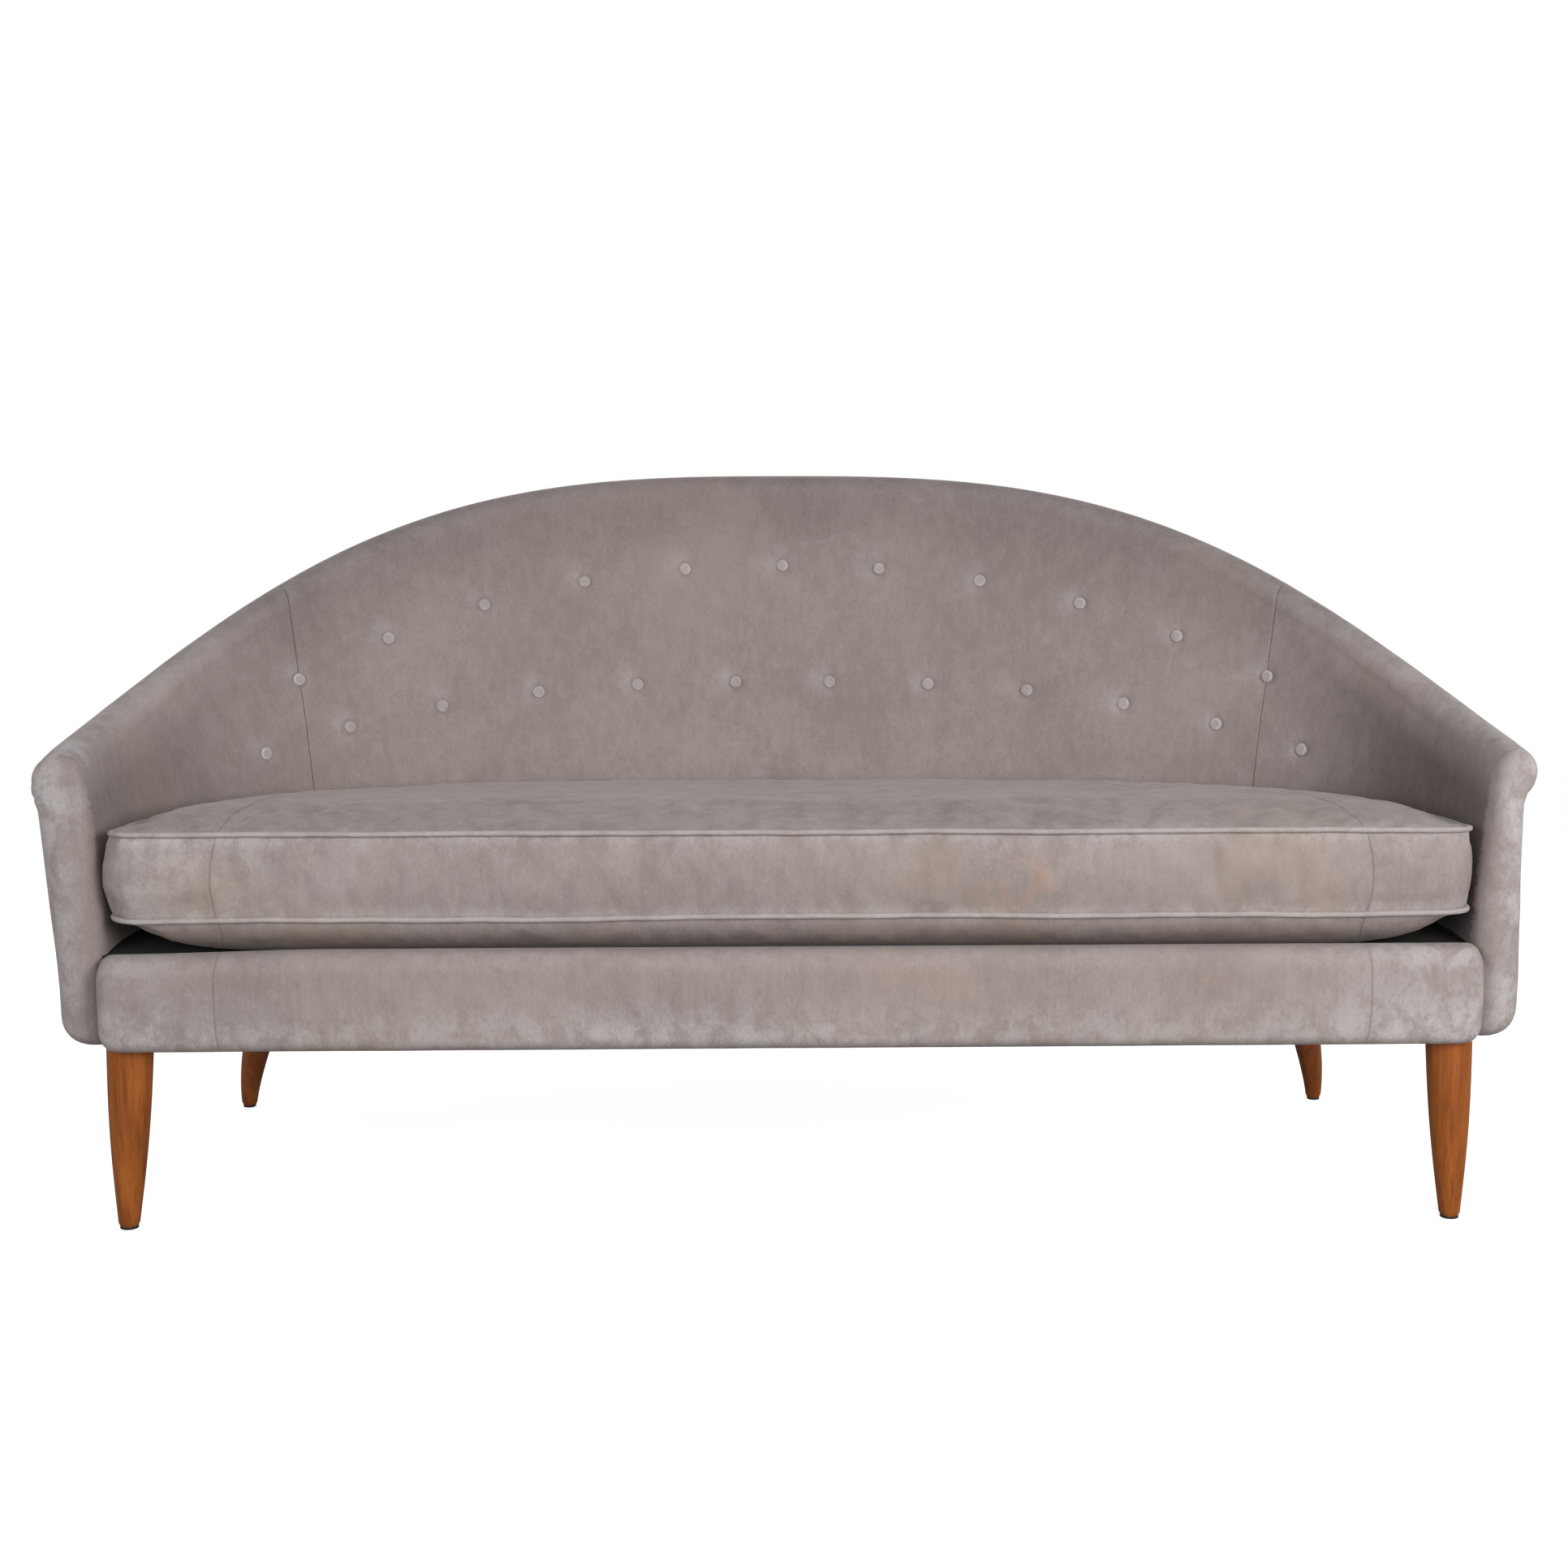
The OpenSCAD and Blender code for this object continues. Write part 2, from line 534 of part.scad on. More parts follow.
// Dust cover under the body, held by tacks, with holes for the leg plates.
module dust_outline() polygon(concat(
    [for (st = both_sides(arm_end_k)) let (s = st[0]) off_plan(s, fold_d(s) - fit_gap)],
    [for (q = [[1, 0], [1, -arm_reach + fit_gap], [-1, -arm_reach + fit_gap], [-1, 0]])
        [q[0] * (seat_w / 2 - fit_gap), q[1]]]));
module dust_cover() color(dark_cloth) translate([0, 0, frame_z - dust_t])
    linear_extrude(dust_t) difference() {
        dust_outline();
        for (p = plate_places) translate(p) circle(r = plate_r + fit_gap, $fn = plate_sides);
    }
tack_r = 3;
tack_h = 1;
tack_in = 9;
tack_sides = 8;
module dust_cover_tacks() color(steel) for (k = [0 : 2 : arm_joint_k], flip = k == 0 ? [0] : [0, 1]) {
    s = half_stations[k][0];
    p = off_plan(s, fold_d(s) - tack_in);
    if (norm(p - rear_top) > rear_leg_a + 2 * tack_r)
        mirror([flip, 0, 0]) translate([p[0], p[1], frame_z - dust_t - tack_h])
            cylinder(r = tack_r, h = tack_h, $fn = tack_sides);
}

// Tufting: a frame on the inside face at a button, with its axis out of the face.
module at_button(st, i) {
    s = st[0];
    n = out_at(s);
    low = section(s, i - 1, 0);
    high = section(s, i + 1, 0);
    translate(wall_point(st, i, dimple)) rotate([0, 0, atan2(n[1], n[0])])
        rotate([0, atan2(high[0] - low[0], high[1] - low[1]) - 90, 0]) children();
}
module at_buttons() for (st = both_sides(last_column), i = [lower_button_row, upper_button_row])
    if (has_button(st[0], i)) at_button(st, i) children();
shank_r = 2;
shank_z = 0.4;
button_z = 1.5;
button_sides = 10;
dome_share = 0.7;
rim_share = 0.25;
module tufting_buttons() color(velvet) at_buttons() rotate_extrude($fn = button_sides) polygon([
    [0, shank_z], [shank_r, shank_z], [shank_r, button_z], [button_r, button_z + button_h * rim_share],
    [button_r * dome_share, button_z + button_h * dome_share], [0, button_z + button_h]]);
toggle_r = 2;
toggle_gap = 1.2;
twine_sides = 6;
tie_depth = in_web - dimple + toggle_r + toggle_gap;
module tufting_twines() color(jute) at_buttons() translate([0, 0, -tie_depth + toggle_r])
    cylinder(r = twine_r, h = tie_depth - toggle_r + shank_z, $fn = twine_sides);
module twine_toggles() color(raw_beech) at_buttons() translate([0, toggle_l / 2, -tie_depth])
    rotate([90, 0, 0]) cylinder(r = toggle_r, h = toggle_l, $fn = twine_sides);

// Legs, with their plates, hanger bolts and glides.
rear_top = off_plan(rear_leg_at, rear_leg_in);
rear_foot = off_plan(rear_leg_at, rear_leg_out);
front_foot = [front_leg_spacing / 2 + front_leg_splay, 0];
plate_places = [[front_leg_spacing / 2, 0], [-front_leg_spacing / 2, 0], rear_top, [-rear_top[0], rear_top[1]]];
plate_low = frame_z - plate_t;
plate_sides = 12;
module leg_plates() color(steel) for (p = plate_places) translate([p[0], p[1], plate_low]) difference() {
    cylinder(r = plate_r, h = plate_t, $fn = plate_sides);
    translate([0, 0, -1]) cylinder(r = bolt_r, h = plate_t + 2, $fn = bolt_sides);
}
module leg_bolts() color(steel) for (p = plate_places)
    translate([p[0], p[1], plate_low - bolt_l]) cylinder(r = bolt_r, h = 2 * bolt_l + plate_t, $fn = bolt_sides);
leg_rings = 8;
leg_sides = 16;
function leg_ring(c, a, b, turn, z) = [for (q = [0 : leg_sides - 1]) let (t = -360 * q / leg_sides,
    x = a * cos(t), y = b * sin(t))
    [c[0] + x * cos(turn) - y * sin(turn), c[1] + x * sin(turn) + y * cos(turn), z]];
module leg(ring) difference() {
    loft([for (j = [0 : leg_rings]) ring(j / leg_rings)]);
    children();
}
front_bow = 3;
// h runs from 0 at the foot to 1 at the top.
function front_ring(h) = let (bow = front_bow * sin(180 * h),
    r = front_foot_r + (front_leg_r - front_foot_r) * h + bow)
    leg_ring([front_foot[0] - front_leg_splay * h, 0], r, r, 0, glide_h + (plate_low - glide_h) * h);
rear_curve = 1.55;
rear_fill = 2.1;
function rear_ring(h) = let (out = 1 - pow(h, rear_curve), w = 1 - pow(1 - h, rear_fill),
    c = rear_top + (rear_foot - rear_top) * out, n = out_at(rear_leg_at))
    leg_ring(c, rear_foot_a + (rear_leg_a - rear_foot_a) * w, rear_foot_b + (rear_leg_b - rear_foot_b) * w,
        atan2(n[1], n[0]), glide_h + (plate_low - glide_h) * h);
module front_leg_right() color(beech) leg(function (h) front_ring(h))
    translate([front_leg_spacing / 2, 0, plate_low - bolt_l])
        cylinder(r = bolt_r, h = 2 * bolt_l, $fn = bolt_sides);
module front_leg_left() mirror([1, 0, 0]) front_leg_right();
module rear_leg_right() color(beech) leg(function (h) rear_ring(h))
    translate([rear_top[0], rear_top[1], plate_low - bolt_l])
        cylinder(r = bolt_r, h = 2 * bolt_l, $fn = bolt_sides);
module rear_leg_left() mirror([1, 0, 0]) rear_leg_right();
glide_rim = 1;
module leg_glides() color(glide_steel) both_flips() {
    translate(front_foot) cylinder(r = front_foot_r - glide_rim, h = glide_h, $fn = plate_sides);
    translate(rear_foot) cylinder(r = rear_foot_b - glide_rim, h = glide_h, $fn = plate_sides);
}

// Seat cushion. Its edge runs from the left side round the back to the right side and along the front.
cushion_x = seat_w / 2 - cushion_gap;
front_points = 6;
edge_stations = let (half = [for (k = [0 : arm_end_k]) if (k > last_column || k % 2 == 0) half_stations[k]])
    concat([for (k = [len(half) - 1 : -1 : 1]) flipped(half[k])], half);
edge_mid = (len(edge_stations) - 1) / 2;
function cushion_edge(d) = let (r = cushion_corner_r + d, y = -cushion_reach + cushion_corner_r) concat(
    [for (st = edge_stations) off_plan(st[0], d - cushion_gap)],
    [for (a = [-25, -48, -70]) [cushion_x - cushion_corner_r + r * cos(a), y + r * sin(a)]],
    [for (i = [0 : front_points]) let (x = (1 - 2 * i / front_points) * (cushion_x - cushion_corner_r))
        [x, -cushion_reach - d]],
    [for (a = [-110, -132, -155]) [-cushion_x + cushion_corner_r + r * cos(a), y + r * sin(a)]]);
cushion_mid_share = 0.42;
cushion_mid = [0, cushion_mid_share * seat_d];
border_z = deck_z + border_lift;
function tilt(y) = -cushion_tilt * (y + cushion_reach) / (seat_d + cushion_reach);
function low_edge_z(y) = border_z + tilt(y);
function top_edge_z(y) = low_edge_z(y) + border_h;
cushion_rings = [1, 0.96, 0.83, 0.5];
function ring_at(edge, share) = [for (p = edge) cushion_mid + (p - cushion_mid) * share];
function top_face_z(p, share) = top_edge_z(p[1]) + crown * (1 - pow(share, 3));
function rest_z(y) = fit_gap + (y < roll_back + 2 ? roll_top : deck_z);
belly_edge_power = 25;
belly_end_power = 11;
function low_face_z(p, share) = let (z = low_edge_z(p[1]),
    full = (1 - pow(share, belly_edge_power)) * (1 - pow(abs(p[0]) / cushion_x, belly_end_power)))
    share == 1 ? z : max(rest_z(p[1]), z - (z - deck_z) * full);
function raised(points, z) = [for (p = points) [p[0], p[1], z(p)]];
function top_rings(drop) = let (edge = cushion_edge(0)) [for (k = [0 : len(cushion_rings) - 1])
    raised(ring_at(edge, cushion_rings[k]), function (p) top_face_z(p, cushion_rings[k]) - drop)];
function low_rings(lift) = let (edge = cushion_edge(0)) [for (k = [0 : len(cushion_rings) - 1])
    raised(ring_at(edge, cushion_rings[k]), function (p) low_face_z(p, cushion_rings[k]) + lift)];
function top_mid(drop) = [cushion_mid[0], cushion_mid[1], top_face_z(cushion_mid, 0) - drop];
function low_mid(lift) = [cushion_mid[0], cushion_mid[1], low_face_z(cushion_mid, 0) + lift];

// A closed solid from rings that run from a middle point out, round an edge and in to another one.
// Its second half mirrors the first half's triangles, so stacked solids share their faces exactly.
module domed(rings, first, last) {
    n = len(rings[0]);
    m = len(rings);
    function at(j, i) = 1 + j * n + i % n;
    end = 1 + m * n;
    polyhedron(concat([first], [for (r = rings) each r], [last]), [
        for (i = [0 : n - 1]) [0, at(0, i), at(0, i + 1)],
        for (j = [0 : m - 2], i = [0 : n - 1]) each j < m / 2
            ? [[at(j, i), at(j + 1, i), at(j + 1, i + 1)], [at(j, i), at(j + 1, i + 1), at(j, i + 1)]]
            : [[at(j, i), at(j + 1, i), at(j, i + 1)], [at(j + 1, i), at(j + 1, i + 1), at(j, i + 1)]],
        for (i = [0 : n - 1]) [end, at(m - 1, i + 1), at(m - 1, i)]]);
}
function inner_rings(rings) = [for (k = [1 : len(rings) - 1]) rings[k]];
module cushion_top_panel() color(velvet)
    domed(concat(reversed(top_rings(0)), top_rings(cushion_cover_t)), top_mid(0), top_mid(cushion_cover_t));
module cushion_bottom_panel() color(velvet)
    domed(concat(reversed(low_rings(cushion_cover_t)), low_rings(0)), low_mid(cushion_cover_t), low_mid(0));
border_bulge = 3;
core_slack = fit_gap;
border_rows = [0, 0.3, 0.7, 1];
function border_ring(d, share, slack = 0) = let (end = cushion_cover_t + slack)
    raised(cushion_edge(d + border_bulge * sin(180 * share)),
        function (p) low_edge_z(p[1]) + end + (border_h - 2 * end) * share);
module cushion_core() color(padding)
    domed(concat(reversed(inner_rings(top_rings(cushion_cover_t))),
        [for (share = reversed(border_rows)) border_ring(-cushion_cover_t, share, core_slack)],
        inner_rings(low_rings(cushion_cover_t))), top_mid(cushion_cover_t), low_mid(cushion_cover_t));

// A tube or band swept along the cushion's closed edge.
module edge_sweep(loops) {
    n = len(loops[0]);
    m = len(loops);
    function at(j, i) = (j % m) * n + i % n;
    polyhedron([for (r = loops) each r], [for (j = [0 : m - 1], i = [0 : n - 1]) each
        [[at(j, i), at(j + 1, i), at(j + 1, i + 1)], [at(j, i), at(j + 1, i + 1), at(j, i + 1)]]]);
}
module cushion_border() color(velvet) edge_sweep(concat(
    [for (share = reversed(border_rows)) border_ring(0, share)],
    [for (share = border_rows) border_ring(-cushion_cover_t, share)]));
piping_sides = 6;
piping_touch = 0.05;
top_piping_at = [1, 1] * (piping_r + piping_touch) / sqrt(2);
low_piping_at = [piping_r - 2 * piping_touch, -0.45 * piping_r];
module piping(at, edge_z) edge_sweep([for (q = [0 : piping_sides - 1]) let (a = 45 - 360 * q / piping_sides)
    raised(cushion_edge(at[0] + piping_r * cos(a)),
        function (p) edge_z(p[1]) + at[1] + piping_r * sin(a))]);
module cushion_top_piping() color(velvet) piping(top_piping_at, function (y) top_edge_z(y));
module cushion_bottom_piping() color(velvet) piping(low_piping_at, function (y) low_edge_z(y));
zip_k = 4;
zip_t = 0.8;
module cushion_zip() color(steel) {
    shares = [0.5 - zip_w / border_h / 2, 0.5, 0.5 + zip_w / border_h / 2];
    first = edge_mid - zip_k;
    rings = [for (k = [first : first + 2 * zip_k]) concat(
        [for (share = shares) border_ring(fit_gap / 3, share)[k]],
        [for (share = reversed(shares)) border_ring(fit_gap / 3 + zip_t, share)[k]])];
    loft(rings);
}

// The sizes above are laid out from the front legs' centres. This puts the origin under the middle.
front_y = -roll_reach - roll_belly;
back_y = seat_d + back_lean + back_roll_r;
module settled() translate([0, -(front_y + back_y) / 2, 0]) children();

settled() front_rail();
settled() seat_rail_back();
settled() seat_rail_left();
settled() seat_rail_right();
settled() seat_stretchers();
settled() front_corner_blocks();
settled() rear_corner_blocks();
settled() back_uprights();
settled() corner_uprights();
settled() arm_post_left();
settled() arm_post_right();
settled() back_top_rail();
settled() arm_top_rail_left();
settled() arm_top_rail_right();
settled() seat_webbing_long();
settled() seat_webbing_cross();
settled() seat_hessian();
settled() seat_felt();
settled() deck_cover();
settled() back_webbing();
settled() back_hessian();
settled() back_pad();
settled() arm_pad_left();
settled() arm_pad_right();
settled() outside_wadding();
settled() front_roll_pad();
settled() inside_back_cover();
settled() inside_arm_cover_left();
settled() inside_arm_cover_right();
settled() outside_back_cover();
settled() outside_arm_cover_left();
settled() outside_arm_cover_right();
settled() front_roll_cover();
settled() dust_cover();
settled() dust_cover_tacks();
settled() tufting_buttons();
settled() tufting_twines();
settled() twine_toggles();
settled() front_leg_left();
settled() front_leg_right();
settled() rear_leg_left();
settled() rear_leg_right();
settled() leg_plates();
settled() leg_bolts();
settled() leg_glides();
settled() cushion_core();
settled() cushion_top_panel();
settled() cushion_bottom_panel();
settled() cushion_border();
settled() cushion_top_piping();
settled() cushion_bottom_piping();
settled() cushion_zip();
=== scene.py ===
import json
import math

import bmesh
import bpy
import numpy as np
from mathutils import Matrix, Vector, noise
from mathutils.kdtree import KDTree


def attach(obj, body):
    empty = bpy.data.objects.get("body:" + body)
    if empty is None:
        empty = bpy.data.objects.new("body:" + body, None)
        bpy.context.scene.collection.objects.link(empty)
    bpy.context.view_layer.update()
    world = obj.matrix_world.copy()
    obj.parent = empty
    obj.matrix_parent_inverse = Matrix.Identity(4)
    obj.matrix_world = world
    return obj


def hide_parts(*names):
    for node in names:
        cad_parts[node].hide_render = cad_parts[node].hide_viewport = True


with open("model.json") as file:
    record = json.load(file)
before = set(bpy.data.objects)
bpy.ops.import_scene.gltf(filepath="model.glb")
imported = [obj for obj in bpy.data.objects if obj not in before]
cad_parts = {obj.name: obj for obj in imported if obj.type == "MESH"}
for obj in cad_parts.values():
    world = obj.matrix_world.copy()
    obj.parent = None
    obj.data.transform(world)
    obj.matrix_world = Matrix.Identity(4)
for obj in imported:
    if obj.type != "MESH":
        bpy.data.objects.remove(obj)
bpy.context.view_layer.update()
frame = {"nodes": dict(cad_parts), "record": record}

FRAME_BODY, CUSHION_BODY = "settee_frame", "seat_cushion"
SIDES = ((-1, "left"), (1, "right"))

# Sizes of the settee, in millimetres, as in the part's source. Seen from the front, +X is to the right and +Y
# to the back. y counts from the line of the front legs' centres, which lies at LAYOUT_Y in the frame.
MM = 0.001
LAYOUT_Y = -307.0
SEAT_W, SEAT_D, PLAN_POWER, SPREAD_POWER = 1570.0, 485.0, 2.35, 1.2
ARM_REACH, DECK_Z, BODY_Z = 26.0, 330.0, 222.0
BACK_Z, ARM_Z, CREST_POWER, FALL_POWER = 833.0, 561.0, 1.54, 1.34
BACK_LEAN, ARM_LEAN, BACK_ROLL_R, ARM_ROLL_R = 150.0, 44.0, 33.0, 28.0
BACK_WALL_T, ARM_WALL_T, NOSE_R, BOTTOM_R = 135.0, 56.0, 21.0, 35.0
LIP_ANGLE, LIP_DROP, LIP_TUCK, FOLD_T = 50.0, 1.25, 4.0, 7.0
LIP_SIN, LIP_COS = math.sin(math.radians(LIP_ANGLE)), math.cos(math.radians(LIP_ANGLE))
SEAM_AT, DIMPLE, BUTTON_R = 51.5, 7.0, 8.0
OUTSIDE_SEAM = 1.1 * SEAM_AT
BUTTON_PITCH = SEAM_AT / 5
COVER_T = 2.5


def arc(low, high, count):
    """Angles in radians, at even steps between two angles in degrees."""
    return np.radians(np.linspace(low, high, count))


# Shape of the body. s is an angle round the plan line: 0 at the back's middle, -90 and 90 at the arms' fronts.
def sweep(s):
    return np.radians(90 * (np.abs(s) / 90) ** SPREAD_POWER)


def plan(s):
    """(x, y) of the plan line at s, and the outward direction there."""
    a, p = sweep(s), 2 / PLAN_POWER
    c = np.maximum(np.cos(a), 0)
    x, y = np.sign(s) * SEAT_W / 2 * np.sin(a) ** p, SEAT_D * c ** p
    n = np.stack([np.sin(a) ** (2 - p) / (SEAT_W / 2), c ** (2 - p) / SEAT_D])
    n = n / np.linalg.norm(n, axis=0)
    return x, y, np.sign(s) * n[0], n[1]


def off_plan(s, d):
    """(x, y) at the distance d outside the plan line."""
    x, y, nx, ny = plan(s)
    return x + nx * d, y + ny * d


def mix(arm, back, s):
    """Changes from the arms' value to the back's."""
    return arm + (back - arm) * np.cos(np.radians(s))


def lean(s):
    return mix(ARM_LEAN, BACK_LEAN, s)


def roll_r(s):
    return mix(ARM_ROLL_R, BACK_ROLL_R, s)


def wall_t(s):
    return mix(ARM_WALL_T, BACK_WALL_T, s)


def roll_z(s):
    """Height of the roll's centre."""
    share = (1 + np.cos(math.pi * (np.abs(s) / 90) ** CREST_POWER)) / 2
    return ARM_Z + (BACK_Z - ARM_Z) * share ** FALL_POWER - roll_r(s)


def inside_d(s, z):
    """How far the inside face lies outside the plan line."""
    t = unit((z - DECK_Z) / (roll_z(s) - DECK_Z))
    return (lean(s) - roll_r(s)) * mix(0.3 * t + 0.7 * t ** 2.2, 0.8 * t + 0.2 * t * t, s)


def outside_d(s, z):
    """How far the outside wall lies outside the plan line."""
    foot_z, top_z = BODY_Z + BOTTOM_R, roll_z(s) - LIP_DROP * roll_r(s)
    top_d = lean(s) + roll_r(s) * LIP_COS - LIP_TUCK
    wall = wall_t(s) + (top_d - wall_t(s)) * (z - foot_z) / (top_z - foot_z)
    low = np.clip(foot_z - z, 0, BOTTOM_R)
    return wall - (BOTTOM_R - np.sqrt(np.maximum(BOTTOM_R ** 2 - low ** 2, 0)))


def button_row(s, upper):
    """Height of a row of buttons as a share of the inside face's."""
    if upper:
        return 0.75 + 0.07 * np.cos(np.radians(np.minimum(90, 90 * np.abs(s) / SEAM_AT))) ** 2
    return 0.495 + 0.05 * np.minimum(1, np.abs(s) / (5.5 * BUTTON_PITCH)) ** 4


def buttons():
    """(angle, height) of each button on the inside face."""
    upper = [(k * BUTTON_PITCH, True) for k in range(-5, 6)]
    lower = [((k + 0.5) * BUTTON_PITCH, False) for k in range(-6, 6)]
    return [(s, DECK_Z + (roll_z(s) - DECK_Z) * button_row(s, up)) for s, up in upper + lower]


def face_point(s, z, depth=0.0):
    """A point of the inside face, or one that lies depth behind it."""
    s = np.asarray(s, float)
    x, y = off_plan(s, inside_d(s, z) + depth)
    return np.stack([x, y, z + 0 * s], -1)


# Mesh helpers. Points come in millimetres from the front legs' centres.
def settle(points):
    p = np.asarray(points, float).reshape(-1, 3) * MM
    p[:, 1] += LAYOUT_Y * MM
    return p


def set_masks(mesh, masks):
    for key, values in masks.items():
        mesh.attributes.new(key, "FLOAT", "POINT").data.foreach_set("value", np.ravel(values).astype(float))


def build(name, points, faces, masks=None, smooth=True):
    mesh = bpy.data.meshes.new(name)
    mesh.from_pydata(settle(points).tolist(), [], faces)
    set_masks(mesh, masks or {})
    mesh.validate()
    if smooth:
        mesh.shade_smooth()
    obj = bpy.data.objects.new(name, mesh)
    bpy.context.collection.objects.link(obj)
    return obj


def grid_faces(rows, columns, start=0, flip=False):
    """Faces of a grid whose points run along the rows first."""
    faces = []
    for j in range(rows - 1):
        a, b = start + j * columns, start + (j + 1) * columns
        for i in range(columns - 1):
            quad = (a + i, a + i + 1, b + i + 1, b + i)
            faces.append(quad[::-1] if flip else quad)
    return faces


def ring_faces(rings, count, start=0, wrap=False, flip=False):
    """Faces between closed rings of count points each; wrap joins the last ring to the first."""
    faces = []
    for j in range(rings if wrap else rings - 1):
        a, b = start + j * count, start + (j + 1) % rings * count
        for i in range(count):
            n = (i + 1) % count
            faces.append((a + i, b + i, b + n, a + n) if flip else (a + i, a + n, b + n, b + i))
    return faces


def ring_cap(ring, count, flip=False):
    """One face across a closed ring."""
    face = range(ring * count, (ring + 1) * count)
    return tuple(reversed(face)) if flip else tuple(face)


def finish_piece(obj, material, body, *stands_for):
    obj.data.materials.clear()
    obj.data.materials.append(material)
    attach(obj, body)
    if stands_for:
        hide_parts(*stands_for)


def thicken(obj, thickness, offset=-1.0):
    solid = obj.modifiers.new("thickness", "SOLIDIFY")
    solid.thickness = thickness
    solid.offset = offset
    solid.use_even_offset = False


def ripple(points, size, height, seed):
    """Slow unevenness of stuffed fabric, in millimetres, at each point."""
    shift = Vector((seed * 17.1, seed * 5.3, seed * 9.7))
    flat = np.asarray(points, float).reshape(-1, 3)
    values = [noise.noise(Vector(p) / size + shift) for p in flat]
    return np.array(values).reshape(np.asarray(points).shape[:-1]) * height


def dip(distance, width):
    """A soft bump: 1 at no distance, fading over the width."""
    return np.exp(-(distance / width) ** 2)


def unit(value):
    """The value, held within 0 to 1."""
    return np.clip(value, 0.0, 1.0)


def share(value, low, high):
    """How far a value has come from low to high, from 0 to 1."""
    return unit((value - low) / (high - low))


def ease(t):
    return t * t * (3 - 2 * t)


# Heights up an arm, and how far each side's arm stands out there. It fades in over the angles of ARM_TURN.
ARM_TURN = (62.0, 84.0)
ARM_HEIGHTS = (222.0, 290.0, 340.0, 430.0, 508.0, 528.0, 575.0)
ARM_DRIFT = {-1: (0.0, 0.0, 2.0, 8.0, 13.0, 4.0, 0.0), 1: (0.0, 0.0, -2.0, -5.0, -6.5, -7.0, -2.0)}


def arm_drift(s, z, outer):
    """How far old stuffing lets an arm's outer side stand out from its drawn place: more on the left."""
    side = 1 if np.mean(s) > 0 else -1
    out = np.interp(z, ARM_HEIGHTS, ARM_DRIFT[side])
    return out * ease(share(np.abs(s), *ARM_TURN)) * unit(outer)


# Materials.
class Graph:
    """A material's nodes: add a node with its inputs, which are values or other nodes' outputs."""

    def __init__(self, name):
        self.material = bpy.data.materials.new(name)
        self.material.use_nodes = True
        self.tree = self.material.node_tree
        self.shader = self.tree.nodes["Principled BSDF"]
        self.place = self.add("ShaderNodeTexCoord").outputs["Object"]

    def add(self, kind, inputs=None, **settings):
        node = self.tree.nodes.new(kind)
        for key, value in settings.items():
            setattr(node, key, value)
        for key, value in (inputs or {}).items():
            self.put(node.inputs[key], value)
        return node

    def put(self, socket, value):
        if isinstance(value, bpy.types.NodeSocket):
            self.tree.links.new(value, socket)
        elif socket.type == "RGBA" and len(value) == 3:
            socket.default_value = (*value, 1)
        else:
            socket.default_value = value

    def stretch(self, scale):
        return self.add("ShaderNodeMapping", {"Vector": self.place, "Scale": scale}).outputs["Vector"]

    def noise(self, scale, detail=3.0, rough=0.55, distortion=0.0):
        """Noise at one scale, or at a scale for each axis."""
        even = isinstance(scale, float)
        node = self.add("ShaderNodeTexNoise", {
            "Vector": self.place if even else self.stretch(scale), "Scale": scale if even else 1.0,
            "Detail": detail, "Roughness": rough, "Distortion": distortion})
        return node.outputs["Fac"]

    def math(self, operation, a, b=0.0, clamp=False):
        node = self.add("ShaderNodeMath", {0: a, 1: b}, operation=operation, use_clamp=clamp)
        return node.outputs[0]

    def times(self, a, b, clamp=False):
        return self.math("MULTIPLY", a, b, clamp)

    def plus(self, a, b):
        return self.math("ADD", a, b)

    def step(self, value, low, high, to_low=0.0, to_high=1.0):
        node = self.add("ShaderNodeMapRange", {
            "Value": value, "From Min": low, "From Max": high, "To Min": to_low, "To Max": to_high},
            interpolation_type="SMOOTHSTEP")
        return node.outputs["Result"]

    def mask(self, name):
        return self.add("ShaderNodeAttribute", attribute_name=name).outputs["Fac"]

    def over(self, factor, under, over, blend="MIX"):
        """One colour over another, by the factor."""
        node = self.add("ShaderNodeMix", {0: factor, 6: under, 7: over}, data_type="RGBA", blend_type=blend)
        return node.outputs[2]

    def bump(self, height, strength, distance, normal=None):
        node = self.add("ShaderNodeBump", {"Height": height, "Strength": strength, "Distance": distance})
        if normal is not None:
            self.put(node.inputs["Normal"], normal)
        return node.outputs["Normal"]

    def finish(self, **inputs):
        for key, value in inputs.items():
            self.put(self.shader.inputs[key.replace("_", " ")], value)
        return self.material


VELVET_DEEP = (0.285, 0.238, 0.224)
VELVET_MID = (0.375, 0.318, 0.302)
VELVET_WARM = (0.385, 0.298, 0.240)
VELVET_PALE = (0.475, 0.448, 0.442)
VELVET_RUBBED_AND_LIT = (0.590, 0.570, 0.568)
# Dark of the seams and of the painted shadow rings round the buttons.
SEAM_AND_SHADOW_DARK = (0.120, 0.100, 0.094)
# Colour that the painted shade multiplies in.
PAINTED_SHADE_COLOUR = (0.42, 0.41, 0.40)
STAIN_COLOUR = (0.47, 0.265, 0.19)
STAIN_FADE = (0.015, 0.055)
SEAM_LINE = (0.0003, 0.0011)


